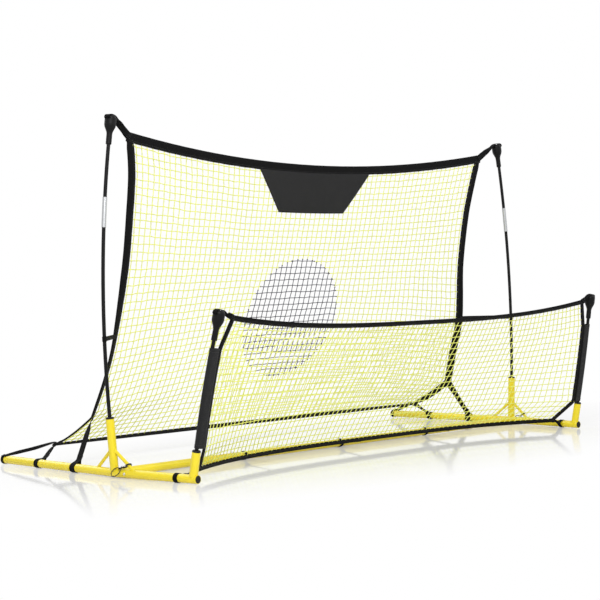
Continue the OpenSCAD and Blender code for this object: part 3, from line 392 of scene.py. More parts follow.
finishes = {
    "tube": powderCoat(),
    "webbing": webbingCloth(),
    "cloth": wovenCloth(),
    "yellowTwine": twineCord("yellowTwine", twine["yellow"]),
    "darkTwine": twineCord("darkTwine", twine["dark"]),
    "thread": twineCord("blackThread", (0.03, 0.03, 0.032)),
    "plug": darkPlastic("blackPlug", shade(0.012, 0.012, 0.013), 0.5, 500, 0.2),
    "cap": darkPlastic("rubberyCap", shade(0.004, 0.004, 0.0043), 0.42, 900, 0.12),
    "hook": darkPlastic("blackHook", shade(0.013, 0.013, 0.014), 0.34, 700, 0.1),
    "ring": darkPlastic("blackWire", shade(0.016, 0.016, 0.017), 0.3, 600, 0.08),
    "rod": fibreRod(),
    "ferrule": brightMetal("bareFerrule", shade(0.50, 0.51, 0.52), 0.36, (1, 1, 7)),
    "pin": brightMetal("platedPin", shade(0.72, 0.72, 0.74), 0.24, (3, 3, 3)),
    "gate": brightMetal("springSteel", shade(0.55, 0.55, 0.57), 0.3, (5, 1, 1)),
}
cadFinish = {"tube": ("side_rail", "front_rail", "cross_arm", "cross_tube", "main_post", "low_post", "braces"),
             "plug": ("end_plugs", "post_collars"), "cap": ("main_cap", "low_cap"), "ferrule": ("pole_ferrules",),
             "rod": ("lower_pole", "upper_pole", "low_pole"), "pin": ("front_button", "cross_button"),
             "hook": ("snap_hook",), "gate": ("hook_gate",), "ring": ("anchor_ring",)}
for finish, endings in cadFinish.items():
    for name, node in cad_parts.items():
        if name.endswith(endings):
            node.data.materials.clear()
            node.data.materials.append(finishes[finish])
print("materials made:", len(finishes))


def inScene(name, data):
    made = bpy.data.objects.new(name, data)
    scene.collection.objects.link(made)
    return made


def plainMesh(name, points, edges=(), faces=()):
    mesh = bpy.data.meshes.new(name)
    mesh.from_pydata(points, edges, faces)
    return mesh


def newPiece(name, mesh, node=None):
    piece = inScene(name, mesh)
    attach(piece, "frame")
    if node:
        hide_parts(node)
    return piece


def sweep(rings, stations, closed=False):
    # rings of points joined along their stations, with the weave's lengths as UVs
    rings = np.asarray(rings, float)
    count, size = rings.shape[:2]
    faces, uvs = [], []
    steps = np.linalg.norm(np.roll(rings[0], -1, 0) - rings[0], axis=1)
    girth = np.concatenate([[0], np.cumsum(steps)])
    for i in range(count if closed else count - 1):
        j = (i + 1) % count
        s0, s1 = stations[i], stations[i + 1]
        for k in range(size):
            m = (k + 1) % size
            faces.append([a * size + b for a, b in ((i, k), (i, m), (j, m), (j, k))])
            uvs += [(s0, girth[k]), (s0, girth[k + 1]), (s1, girth[k + 1]), (s1, girth[k])]
    if not closed:
        for i, s in ((0, stations[0]), (count - 1, stations[-1])):
            faces.append([i * size + k for k in range(size)])
            uvs += [(s, girth[k]) for k in range(size)]
    return {"points": list(rings.reshape(-1, 3)), "faces": faces, "uvs": uvs}


sides = ((False, "left"), (True, "right"))


def onRight(store, lines):
    # a left-hand shape and its stitch lines, mirrored to the right
    mirror = vec(-1, 1, 1)
    return {**store, "points": [p * mirror for p in store["points"]]}, [[q * mirror for q in line] for line in lines]


def together(*parts):
    # sewn shapes and their stitch lines in one
    whole, lines = {"points": [], "faces": [], "uvs": []}, []
    for store, more in parts:
        count = len(whole["points"])
        whole["points"] += store["points"]
        whole["uvs"] += store["uvs"]
        whole["faces"] += [[count + k for k in face] for face in store["faces"]]
        lines += more
    return whole, lines


def storeMesh(name, store, material):
    mesh = plainMesh(name, [tuple(p * 0.001) for p in store["points"]], faces=store["faces"])
    mesh.materials.append(finishes[material])
    mesh.uv_layers.new(name="weave").data.foreach_set("uv", np.array(store["uvs"], np.float32).ravel() * 0.001)
    work = bmesh.new()
    work.from_mesh(mesh)
    bmesh.ops.recalc_face_normals(work, faces=work.faces)
    work.to_mesh(mesh)
    work.free()
    mesh.shade_smooth()
    return mesh


def smoothed(points, wides, step):
    # the line and its width directions, resampled at even steps
    points = [vec(*p) for p in points]
    runs = lengths(points)
    length = runs[-1]
    count = max(int(length / step), len(points))
    runs, shares = runs / length, np.linspace(0, 1, count + 1)
    wides = np.array(wides, float)
    width = np.stack([np.interp(shares, runs, wides[:, k]) for k in range(3)], -1)
    return [along(points, f) for f in shares], [unit(w) for w in width], shares * length


# Flat webbing: the selvedges are a little thicker than the middle, and rounded
strapForm = {"spots": (0.93, 0.8, 0.5, 0, -0.5, -0.8, -0.93), "selvedge": 0.7, "middle": 0.86, "corner": 0.45,
             "step": 4.0, "fineStep": 3.0, "inset": 2.4, "start": 1.5, "threadLift": 0.1}


def strapSection(width):
    half, edge = width / 2, thick / 2
    spots, corner = [half * k for k in strapForm["spots"]], edge * strapForm["corner"]
    front = [(a, edge * (1.0 if abs(a) > strapForm["selvedge"] * half else strapForm["middle"])) for a in spots]
    back = [(a, -b) for a, b in front[::-1]]
    return front + [(-half, corner), (-half, -corner)] + back + [(half, -corner), (half, corner)]


def strap(points, wides, width, boxes, step=strapForm["step"]):
    # each box is a run that is stitched down in a rectangle with a cross, on the face toward a direction
    line, wides, stations = smoothed(points, wides, step)
    frames = []
    for i, (p, wide) in enumerate(zip(line, wides)):
        course = unit(line[min(i + 1, len(line) - 1)] - line[max(i - 1, 0)])
        side = unit(wide - course * np.dot(wide, course))
        frames.append((p, side, np.cross(course, side)))
    store = sweep([[p + s * a + n * b for a, b in strapSection(width)] for p, s, n in frames], stations)
    stitchLines = []

    def spot(s, a, face):
        k = min(int(np.searchsorted(stations, s)), len(frames) - 1)
        p, side, n = frames[k]
        return p + side * a + n * face * (thick / 2 + strapForm["threadLift"])

    inset = width / 2 - strapForm["inset"]
    for start, end, toward in boxes:
        face = sign(frames[0][2], toward)
        runs, slant = np.linspace(start, end, 5), np.linspace(-inset, inset, 5)
        stitchLines += [[spot(s, a, face) for s in runs] for a in (-inset, inset)]
        stitchLines += [[spot(s, a, face) for a in np.linspace(-inset, inset, 4)] for s in (start, end)]
        stitchLines += [[spot(s, way * a, face) for s, a in zip(runs, slant)] for way in (-1, 1)]
    return store, stitchLines


def linesMesh(name, lines):
    points, edges = [], []
    for line in lines:
        first = len(points)
        points += [tuple(np.asarray(p) * 0.001) for p in line]
        edges += [(first + k, first + k + 1) for k in range(len(line) - 1)]
    return plainMesh(name, points, edges)


def newTree(name, sockets):
    tree = bpy.data.node_groups.new(name, "GeometryNodeTree")
    tree.interface.new_socket("Geometry", in_out="INPUT", socket_type="NodeSocketGeometry")
    for label, kind in sockets.items():
        tree.interface.new_socket(label, in_out="INPUT", socket_type="NodeSocket" + kind)
    tree.interface.new_socket("Geometry", in_out="OUTPUT", socket_type="NodeSocketGeometry")
    graph = Graph(tree)
    return graph, graph.node("NodeGroupInput")


def endTree(graph, geometry, material):
    # every tree ends smooth, and with its material set
    smooth = graph.node("GeometryNodeSetShadeSmooth", {"Geometry": geometry})
    dressed = graph.node("GeometryNodeSetMaterial", {"Geometry": smooth, "Material": material})
    graph.node("NodeGroupOutput", {"Geometry": dressed})
    return graph.tree


def twineTree():
    # every edge becomes a strand and every marked point a knot
    graph, source = newTree("knottedTwine", {"Strand Radius": "Float", "Knot Radius": "Float", "Sides": "Int",
                                             "Twine": "Material"})
    curve = graph.node("GeometryNodeMeshToCurve", {"Mesh": source})
    lay = graph.node("GeometryNodeSplineParameter", output="Length")
    curve = graph.node("GeometryNodeStoreNamedAttribute", {"Geometry": curve, "Name": "lay", "Value": lay},
                       data_type="FLOAT", domain="POINT")
    ring = graph.node("GeometryNodeCurvePrimitiveCircle",
                      {"Resolution": source["Sides"], "Radius": source["Strand Radius"]}, mode="RADIUS")
    strands = graph.node("GeometryNodeCurveToMesh", {"Curve": curve, "Profile Curve": ring, "Fill Caps": True})
    knot = graph.node("GeometryNodeMeshIcoSphere", {"Radius": source["Knot Radius"], "Subdivisions": 1})
    marked = graph.node("GeometryNodeInputNamedAttribute", {"Name": "knot"}, data_type="BOOLEAN")
    knots = graph.node("GeometryNodeInstanceOnPoints", {"Points": source, "Selection": marked, "Instance": knot})
    real = graph.node("GeometryNodeRealizeInstances", {"Geometry": knots})
    whole = graph.node("GeometryNodeJoinGeometry", {"Geometry": [strands, real]})
    return endTree(graph, whole, source["Twine"])


def stitchTree():
    # a bead of thread at even steps along each line
    graph, source = newTree("stitches", {"Pitch": "Float", "Length": "Float", "Thickness": "Float",
                                         "Thread": "Material"})
    curve = graph.node("GeometryNodeMeshToCurve", {"Mesh": source})
    spots = graph.node("GeometryNodeCurveToPoints", {"Curve": curve, "Length": source["Pitch"]}, mode="LENGTH")
    turn = graph.node("FunctionNodeAlignRotationToVector", {"Vector": spots["Tangent"]}, axis="Z")
    thickness = source["Thickness"]
    size = graph.node("ShaderNodeCombineXYZ", {0: thickness, 1: thickness, 2: source["Length"]})
    bead = graph.node("GeometryNodeMeshIcoSphere", {"Radius": 0.5, "Subdivisions": 1})
    beads = graph.node("GeometryNodeInstanceOnPoints",
                       {"Points": spots, "Instance": bead, "Rotation": turn, "Scale": size})
    real = graph.node("GeometryNodeRealizeInstances", {"Geometry": beads})
    return endTree(graph, real, source["Thread"])


def grown(name, mesh, tree, values):
    # runs a tree on a mesh and gives back the plain mesh that it made
    holder = inScene(name + "Holder", mesh)
    modifier = holder.modifiers.new("grow", "NODES")
    modifier.node_group = tree
    for item in tree.interface.items_tree:
        if item.name in values:
            modifier[item.identifier] = values[item.name]
    graph = bpy.context.evaluated_depsgraph_get()
    result = bpy.data.meshes.new_from_object(holder.evaluated_get(graph), preserve_all_data_layers=True,
                                             depsgraph=graph)
    result.name = name
    holder.modifiers.remove(modifier)
    bpy.data.objects.remove(holder)
    return result


twineNodes, stitchNodes = twineTree(), stitchTree()
thread = {"Pitch": 0.0052, "Length": 0.0042, "Thickness": 0.0009, "Thread": finishes["thread"]}


def sewnPiece(name, node, store, lines, right=False, material="webbing", slot="black_webbing"):
    # a fabric piece in place of a CAD node, and its stitches
    if right:
        store, lines = onRight(store, lines)
    piece = newPiece(name, storeMesh(name, store, material), node)
    name += "Stitches"
    newPiece(name, grown(name, linesMesh(name + "Lines", lines), stitchNodes, thread))
    return piece


# Fine knotted netting: the strands of each net, and the round target let into the tall one
tallMesh = {"cols": 70, "rows": 42, "strand": 1.4, "knot": 2.6, "slack": 1.5, "sway": 3.5, "seed": 5}
lowMesh = {"cols": 82, "rows": 20, "strand": 1.35, "knot": 2.6, "slack": 1.5, "sway": 3.0, "seed": 9}
target = {"wide": 452, "tall": 424, "at": 0.58, "strand": 1.3, "knot": 2.5}
# A net's rough size, how fast the sway dies toward its rim, and the meshes that one wave of it spans
unevenness = {"spanU": 1800, "spanV": 950, "rim": 12, "cols": 9, "rows": 7}


def tallPerShare(v, step=0.004):
    # the length down the tall net's middle for each share of its height
    return np.linalg.norm(tallPoint(0.5, v + step) - tallPoint(0.5, v - step)) / (2 * step)


def netting(net, size, ring=None):
    cols, rows, loose = size["cols"], size["rows"], np.random.default_rng(size["seed"])
    places, flats = [], []
    perShare = tallPerShare(target["at"])
    for j in range(rows + 1):
        for i in range(cols + 1):
            inside = 0 < i < cols and 0 < j < rows
            shift = loose.uniform(-1, 1, 2) * size["slack"] if inside else np.zeros(2)
            rim = min(1, unevenness["rim"] * min(i / cols, 1 - i / cols, j / rows, 1 - j / rows))
            wave = (i / unevenness["cols"], j / unevenness["rows"])
            shift += [rim * size["sway"] * noise.noise(Vector((*wave, size["seed"] + 3 * k))) for k in (0, 1)]
            u, v = i / cols + shift[0] / unevenness["spanU"], j / rows + shift[1] / unevenness["spanV"]
            p = edgePlace(net, u, v, sideTwist["tuck"])[0] if i in (0, cols) else net(u, v)
            places.append(p)
            flats.append(np.hypot(2 * p[0] / target["wide"], 2 * (v - target["at"]) * perShare / target["tall"]) - 1)
    span = cols + 1
    edges = [(j * span + i, j * span + i + 1) for j in range(rows + 1) for i in range(cols)]
    edges += [(k, k + span) for k in range(rows * span)]
    parts = [{"points": [], "edges": [], "knots": [], "ids": {}} for _ in range(2)]

    def link(far, *ends):
        # a strand outside or inside the ring; each end is a key, a place and whether it is knotted
        part = parts[0 if far > 0 else 1]
        for key, p, knot in ends:
            if key not in part["ids"]:
                part["ids"][key] = len(part["points"])
                part["points"].append(tuple(p * 0.001))
                part["knots"].append(knot)
        part["edges"].append([part["ids"][key] for key, p, knot in ends])

    for a, b in edges:
        farA, farB = (flats[k] if ring else 1 for k in (a, b))
        if farA * farB < 0:
            cut = between(places[a], places[b], farA / (farA - farB))
            for key, far in ((a, farA), (b, farB)):
                link(far, (key, places[key], True), ((a, b), cut, bool(far < 0)))
        else:
            link(farA, (a, places[a], True), (b, places[b], True))
    return parts


def netPiece(name, part, size, material, node):
    mesh = plainMesh(name + "Lines", part["points"], part["edges"])
    mesh.attributes.new("knot", "BOOLEAN", "POINT").data.foreach_set("value", part["knots"])
    mesh = grown(name, mesh, twineNodes, {"Strand Radius": size["strand"] * 0.001, "Knot Radius": size["knot"] * 0.001,
                                          "Sides": 5, "Twine": finishes[material]})
    return newPiece(name, mesh, node)


tallParts = netting(tallPoint, tallMesh, target)
tallNet = netPiece("tallNet", tallParts[0], tallMesh, "yellowTwine", "main_net")
targetNet = netPiece("targetNet", tallParts[1], target, "darkTwine", "target_net")
lowNet = netPiece("lowNet", netting(lowPoint, lowMesh)[0], lowMesh, "yellowTwine", "low_net")
print("nets knotted")


# Bindings: webbing folded over the net's edge and sewn through both layers
fold = {"lip": 0.85, "belly": 1.45, "step": 14, "row": (3.0, 7.0), "threadLift": 0.02,
        "endWidth": 27, "narrowFrom": 0.42, "narrowOver": 0.55, "tuckFor": 0.62, "tuckThick": 0.72, "tuckWide": 0.9,
        "wave": 0.25, "waveAt": 11.0, "ripple": 0.35, "rippleAt": 60, "outerShare": 0.3}
roughLength = {"top": 1900, "bottom": 1850, "side": 1000, "lowSide": 480}


def foldSection(width):
    # the outline of the folded webbing, from its lips at -half to the fold at half
    half = width / 2
    lip, belly = fold["lip"], fold["belly"]
    outer = [(-half, lip + thick * 0.8), (-half + 1.2, lip + thick), (0, belly + thick * 0.95),
             (half - 3.4, belly + thick), (half - 1.5, belly + thick * 0.6), (half - 0.3, belly * 0.6), (half, 0)]
    inner = [(-half, lip + 0.1), (-half + 1.5, lip), (0, belly * 0.9), (half - 3.6, belly), (half - 2.2, 0)]
    return outer + [(a, -b) for a, b in outer[-2::-1]] + [(a, -b) for a, b in inner[:-1]] + inner[::-1]


def bindingFrames(net, edge, clear):
    frames = []
    count = int(roughLength["lowSide" if edge == "side" and net is lowPoint else edge] / fold["step"])
    for k in range(count + 1):
        f = between(clear, 1 - clear, k / count)
        u, v = (0, f) if edge == "side" else (f, 0 if edge == "top" else 1)
        p, face = edgePlace(net, u, v) if edge == "side" else (net(u, v), facing(net, u, v))
        course = down(net, u, v) if edge == "side" else across(net, u, v)
        out = unit(np.cross(face, course) if edge == "top" else np.cross(course, face))
        frames.append((p, out, face))
    return frames, lengths([p for p, out, face in frames])


def binding(name, net, edge, width, clear, node, right=False, endWidth=None):
    # side bindings go thin where they run in under the top and bottom ones, and the tall one narrows a little
    frames, stations = bindingFrames(net, edge, clear)
    ramps = [max(0, s / stations[-1] - fold["narrowFrom"]) / fold["narrowOver"] for s in stations]
    wides = [between(width, endWidth or width, min(1, ramp)) for ramp in ramps]
    rings = []
    for (p, out, face), s, wide in zip(frames, stations, wides):
        wavy = fold["wave"] * math.sin(s / fold["waveAt"])
        wavy += fold["ripple"] * noise.noise(Vector((s / fold["rippleAt"], width, 3)))
        tucked = edge == "side" and min(s, stations[-1] - s) < wide * fold["tuckFor"]
        thin, narrow = (fold["tuckThick"], fold["tuckWide"]) if tucked else (1, 1)
        rings.append([p + out * (a * narrow + (wavy if a < 0 else fold["outerShare"] * wavy)) + face * b * thin
                      for a, b in foldSection(wide)])
    lines = []
    for row in fold["row"]:
        lift = fold["lip"] + thick + fold["threadLift"] + (fold["belly"] - fold["lip"]) * row / width
        lines += [[p + out * (row - wide / 2) + face * side * lift for (p, out, face), wide in zip(frames, wides)]
                  for side in (1, -1)]
    sewnPiece(name, node, sweep(rings, stations), lines, right)


binding("tallTopBinding", tallPoint, "top", webbing["tallWidth"], -0.0065, "main_top_binding")
binding("tallBottomBinding", tallPoint, "bottom", webbing["footWidth"], -0.005, "main_bottom_binding")
binding("lowTopBinding", lowPoint, "top", webbing["lowWidth"], -0.004, "low_top_binding")
binding("lowBottomBinding", lowPoint, "bottom", webbing["lowWidth"], -0.004, "low_bottom_binding")
for right, side in sides:
    binding(side + "TallBinding", tallPoint, "side", webbing["tallWidth"], 0.002, f"main_{side}_binding", right,
            fold["endWidth"])
    binding(side + "LowBinding", lowPoint, "side", webbing["lowWidth"], 0.002, f"{side}_low_binding", right)
print("bindings folded and stitched")


# Straps that are sewn to a net's edge and looped round a tube or a pole
loop = {"reach": 12, "tab": 16, "steps": 18, "tip": 0.75, "sewn": 0.7}
onBinding = webbing["bindingT"] / 2 + gap + thick / 2


def loopLine(e, f, centre, radius):
    near, half = radius + loop["reach"], (thick + gap) / 2
    start, q = math.acos(radius / near), centre + e * near
    turns = [start + (2 * math.pi - 2 * start) * k / loop["steps"] for k in range(loop["steps"] + 1)]
    return [q + f * half] + [centre + radius * (e * math.cos(a) + f * math.sin(a)) for a in turns] \
        + [q - f * half, q + e * loop["tab"] - f * half]


def edgeStrap(net, u, v, centre, n, width, edgeWidth, tube=base["tubeR"], turns=(0.25, 0.5, 0.75)):
    # sewn to the binding at u and v, and looped round a tube whose axis runs along n through a centre
    p, f = edgePlace(net, u, v)
    toward = centre - p
    side = sign(toward, f)
    out = unit(toward - f * np.dot(toward, f))
    lift = f * side * onBinding
    tip = p + out * edgeWidth * loop["tip"] + lift
    e = unit((tip - centre) - n * np.dot(tip - centre, n))
    ring = loopLine(e, np.cross(n, e), centre, tube + gap + thick / 2)
    w = np.cross(f, out)
    startW = w * sign(w, n)
    line = [p + lift, tip] + [between(tip, ring[0], k / 4) for k in (1, 2, 3)] + ring
    wides = [startW, startW] + [unit(between(startW, n, k)) for k in turns] + [n] * len(ring)
    return strap(line, wides, width, [(strapForm["start"], edgeWidth * loop["sewn"], f * side)])


def strapPair(name, node, left, right=None):
    # both sides' straps in one piece
    sewnPiece(name, node, *together(left, onRight(*(right or left))))


def railAt(y):
    # a point of the side rail's axis, behind the T joint or in front of it
    course = rearDir if y > 0 else frontDir
    return tJoint + course * y / course[1]


straps = {"kneeAt": 188, "heelAt": 368, "tailAt": 543, "footAt": 240, "midUp": 388, "kneeWidth": 24, "heelWidth": 20,
          "tailWidth": 13, "width": 14, "tieAt": (-462, 0, 462), "tieWidth": 12, "turns": (0.85, 1, 1)}


def whereHigh(line, lo, hi, z):
    # the share along a falling or rising line at which it reaches a height
    for _ in range(40):
        mid = (lo + hi) / 2
        lo, hi = (mid, hi) if (line(mid)[2] - z) * (line(lo)[2] - z) > 0 else (lo, mid)
    return (lo + hi) / 2


def midStrap():
    z = base["railZ"] + straps["midUp"]
    s = whereHigh(tallPoleAt, 10, 900, z)
    course = unit(tallPoleAt(s + 5) - tallPoleAt(s - 5))
    return edgeStrap(tallPoint, 0, whereHigh(tallSide, 0, 0.9, z), tallPoleAt(s), course, straps["width"],
                     webbing["tallWidth"], tallPole["radius"])


kneeStrap = edgeStrap(tallPoint, 0, tallEdge["kneeAt"], railAt(straps["kneeAt"]), rearDir, straps["kneeWidth"],
                      (webbing["tallWidth"] + webbing["footWidth"]) / 2, turns=straps["turns"])
heelStrap = edgeStrap(tallPoint, 0, 1, railAt(straps["heelAt"]), rearDir, straps["heelWidth"], webbing["footWidth"],
                      turns=straps["turns"])
footStrap = edgeStrap(lowPoint, 0, 1, railAt(-straps["footAt"]), frontDir, webbing["lowWidth"], webbing["lowWidth"])
ties = [edgeStrap(lowPoint, (1 - x / lowPoint(0, 1)[0]) / 2, 1, vec(x, 0, base["railZ"]), vec(1, 0, 0),
                  straps["tieWidth"], webbing["lowWidth"]) for x in straps["tieAt"]]


# From the heel over the rail, where a ring of webbing holds its end
tail = {"up": (-0.45, 0, 1), "standing": (0, 0, 1.3), "rise": (0, 0, 2), "passes": (0.4, 0.7), "ends": (-0.6, 0.4),
        "sewn": 10, "steps": 48}


def tailStrap():
    p, f, c = tallPoint(0, 1), facing(tallPoint, 0, 1), railAt(straps["tailAt"])
    up, wide = unit(vec(*tail["up"])), straps["tailWidth"]
    side = np.cross(rearDir, up)
    over = c + up * (base["tubeR"] + 2 * gap + 1.5 * thick)
    start = p - f * onBinding
    line = [start, start + rearDir * webbing["footWidth"]] + [between(p, over, k) for k in tail["passes"]] \
        + [over + rearDir * wide * k for k in tail["ends"]]
    line[2] = line[2] + vec(*tail["rise"])
    w0 = unit(np.cross(f, rearDir))
    w1 = side * sign(w0, side)
    standing = unit(w0 + vec(*tail["standing"]))
    whole = strap(line, [w0, unit(w0 + standing), standing, standing, w1, w1], wide,
                  [(strapForm["start"], tail["sewn"], f)])
    radius = base["tubeR"] + gap + thick / 2
    turns = [2 * math.pi * k / tail["steps"] for k in range(tail["steps"] + 1)]
    rings = []
    for a in turns[:-1]:
        n = up * math.cos(a) + side * math.sin(a)
        rings.append([c + n * (radius + b) + rearDir * s for s, b in strapSection(wide)])
    return together(whole, (sweep(rings, [radius * a for a in turns], True), []))


# The band through a cap's slot and over its crown, which holds the net's corner on both faces
band = {"near": (9, -2), "far": 0.8, "mids": (0.33, 0.67), "shut": 0.15, "sewn": 0.72, "tall": 20,
        "tallTwists": ((-0.3, 1), (0, -1)), "lowTwists": ((-0.8, 1), (0, -1)),
        "bar": ((1, 1, "under", 0), (-1, -0.3, "under", 0), (-1, -1.2, "under", 2.6), (-1, -0.2, "saddle", -1.6),
                (-1, 4.2, "over", 1.2), (-0.5, 1, "over", 2.6), (0, 0, "over", 3.1), (0.5, 0, "over", 2.4),
                (1, -2, "over", 0.3))}  # share of the head and more, level and how far above it


def cornerStrap(net, crown, x, y, z, width, roll, way):
    p, f = net(0, 0), facing(net, 0, 0)
    toward = crown - p
    out = unit(toward - f * np.dot(toward, f))
    w = np.cross(f, out)
    head, saddle, shut = poleCap["head"], -poleCap["saddle"], thick / 2 + band["shut"]
    levels = {"saddle": saddle, "over": saddle + gap + thick / 2,
              "under": poleCap["slotZ"] + poleCap["slotH"] / 2 - poleCap["length"]}
    more, rise = band["near"]
    near = crown + x * (head + more) + z * ((levels["over"] + levels["under"]) / 2 + rise)
    far = p + out * width * band["far"]
    ySide = y * way * sign(w, y)
    mids = [between(near, far, k) for k in band["mids"]]
    rolled = z * roll * sign(ySide, y)
    midW = [unit(between(ySide, w, k) + rolled) for k in band["mids"]]
    course = unit(far - near)

    def away(wide):
        return unit(np.cross(wide, course))

    flip = sign(away(ySide), z)
    face = f * sign(away(w), f)
    spots = [(p, face, onBinding), (far, face, onBinding), (mids[1], away(midW[1]), shut),
             (mids[0], away(midW[0]), shut), (near, away(ySide), shut)]
    low, high = ([spot + n * flip * layer * apart for spot, n, apart in spots] for layer in (-1, 1))
    bar = [crown + x * (head * share + more) + z * (levels[level] + rise) for share, more, level, rise in band["bar"]]
    line, wides = low + bar + high[::-1], [w, w, midW[1], midW[0], ySide]
    total = sum(np.linalg.norm(b - a) for a, b in zip(line, line[1:]))
    start, end = strapForm["start"], width * band["sewn"]
    return strap(line, wides + [ySide] * len(bar) + wides[::-1], width,
                 [(start, end, -face * flip), (total - end, total - start, -face * flip)], strapForm["fineStep"])


def bands(net, crown, pole, course, width, twists):
    # for the left and the right corner, both made at the left; course is the cap's slot seen from above
    x, y = unit(vec(*course, 0)), unit(vec(-course[1], course[0], 0))
    axes = [capDir(axis, pole) for axis in (x, y, (0, 0, 1))]
    return [cornerStrap(net, crown, *axes, width, *twist) for twist in twists]


tallBands = bands(tallPoint, tallCrown, tallPole, tallEdge["corner"][:2], band["tall"], band["tallTwists"])
for right, side in sides:
    sewnPiece(side + "CornerStrap", side + "_corner_strap", *tallBands[right], right)
    sewnPiece(side + "KneeStrap", side + "_knee_strap", *kneeStrap, right)
strapPair("lowCornerStraps", "low_corner_straps",
          *bands(lowPoint, lowCrown, lowPole, (1, 0), webbing["lowWidth"], band["lowTwists"]))
strapPair("midStraps", "mid_straps", midStrap())
strapPair("heelStraps", "heel_straps", heelStrap)
strapPair("tailStraps", "tail_straps", tailStrap())
strapPair("footStraps", "foot_straps", footStrap)
sewnPiece("crossTies", "cross_ties", *together(*ties))
print("straps looped")


# Fabric sleeves round the low poles, hemmed at both ends and creased
def sleeveRing(s, lift, inner):
    # half round the pole, then two flat layers that close on the net's binding
    turn = (s - lowPole["mouth"]) / lowPole["bend"]
    r = lowPole["radius"] + sleeve["play"] + (0 if inner else sleeve["cloth"] + lift)
    o = poleLine(s, lowPole)

    def placed(a, b):
        return byLowPole(o + vec(a * math.cos(turn), b, -a * math.sin(turn)))

    v = (lowSpans - 1 - (len(sleeved) - 1) * (s - sleeve["from"]) / sleeve["length"]) / lowSpans
    face, course = facing(lowPoint, 0, v), down(lowPoint, 0, v)
    out = unit(np.cross(course, face))
    edge = lowPoint(0, v) + out * (webbing["lowWidth"] / 2 - sleeve["overlap"] + (sleeve["cloth"] if inner else 0))
    half = sleeve["seam"] if inner else sleeve["seam"] + sleeve["cloth"] + lift
    ring = [placed(r * math.cos(a), r * math.sin(a)) for a in np.linspace(math.pi / 2, 3 * math.pi / 2, 13)]
    flats = []
    for side, seed in ((-1, 7), (1, 2)):
        line = []
        for k in sleeve["across"]:
            wave = noise.noise(Vector((k * sleeve["creaseWide"], s / sleeve["creaseLong"], seed)))
            crease = 0 if inner else sleeve["creases"] * wave * (sleeve["creaseEnd"] - k)
            line.append(between(placed(0, side * r), edge - face * side * half, k) - face * side * crease)
        flats.append(line)
    return ring + flats[0] + [edge - out * sleeve["lip"]] + flats[1][::-1]


def sewnSleeve():
    start, length = sleeve["from"], sleeve["length"]
    end = start + length
    stops = np.linspace(start, end, sleeve["steps"])
    hems = [sleeve["hemLift"] if min(s - start, end - s) < sleeve["hem"] else 0 for s in stops]
    rings = [sleeveRing(s, hem, False) for s, hem in zip(stops, hems)] + [sleeveRing(s, 0, True) for s in stops[::-1]]
    lines = []
    for s in (start + sleeve["hemSewn"], end - sleeve["hemSewn"]):
        ring = sleeveRing(s, sleeve["hemLift"] + sleeve["threadLift"], False)
        lines.append(ring + ring[:1])
    seam = [sleeveRing(s, sleeve["seamLift"], False) for s in stops[1:-1]]
    lines += [[ring[k] for ring in seam] for k in sleeve["seamRows"]]
    return sweep(rings, [*stops, *(stops + length), start + 2 * length], True), lines


leftSleeve = sewnSleeve()
for right, side in sides:
    piece = sewnPiece(side + "Sleeve", side + "_sleeve", *leftSleeve, right, "cloth", "sleeve_cloth")
print("sleeves sewn")


# The bare cloth panel under the tall net's top edge
panel = {"top": 560, "low": 326, "height": 148, "thick": 0.9, "hem": 9, "lift": 1.9, "cols": 64, "rows": 20,
         "at": 0.1, "underBinding": 4, "edgeLift": 1.15, "freeFrom": 3, "freeOver": 10, "hemLift": 0.45, "flatRim": 25,
         "creases": ((0.8, 70, 55, 4), (0.5, 24, 90, 8)),  # height, spans across and down, seed
         "seam": ((0.0275, 0.16), (0.0275, 0.95), (0.9725, 0.95), (0.9725, 0.16)), "seamSteps": 40,
         "seamLift": (0, -0.5, 0)}


def panelPiece():
    perShare = tallPerShare(panel["at"])
    upper = webbing["tallWidth"] / 2 - panel["underBinding"]
    cols, rows = panel["cols"], panel["rows"]

    def spot(i, j, layer):
        drop = between(upper, panel["height"], j / rows)
        half = between(panel["top"], panel["low"], j / rows) / 2
        x, v = half * (2 * i / cols - 1), drop / perShare
        u = (1 - x / tallPoint(0, v)[0]) / 2
        rim = min(half - abs(x), drop - upper, panel["height"] - drop)
        free = min(1, max(0, (drop - upper - panel["freeFrom"]) / panel["freeOver"]))
        hem = panel["hemLift"] if rim < panel["hem"] and free == 1 else 0
        soft = min(1, max(0, rim / panel["flatRim"])) * free
        crease = sum(high * noise.noise(Vector((x / a, drop / b, seed))) for high, a, b, seed in panel["creases"])
        lift = between(panel["edgeLift"], panel["lift"], free) + crease * soft + layer * (panel["thick"] + hem)
        return tallPoint(u, v) + facing(tallPoint, u, v) * lift

    rings = [[spot(i, j, 1) for j in range(rows + 1)] + [spot(i, j, 0) for j in range(rows, -1, -1)]
             for i in range(cols + 1)]
    store = sweep(rings, [i * panel["top"] / cols for i in range(cols + 1)])
    shares = [k / panel["seamSteps"] for k in range(panel["seamSteps"] + 1)]
    lines = [[spot(cols * between(a, c, t), rows * between(b, d, t), 1) + vec(*panel["seamLift"]) for t in shares]
             for (a, b), (c, d) in zip(panel["seam"], panel["seam"][1:])]
    piece = sewnPiece("topPanel", "top_panel", store, lines, False, "cloth", "panel_cloth")


panelPiece()
print("panel sewn")


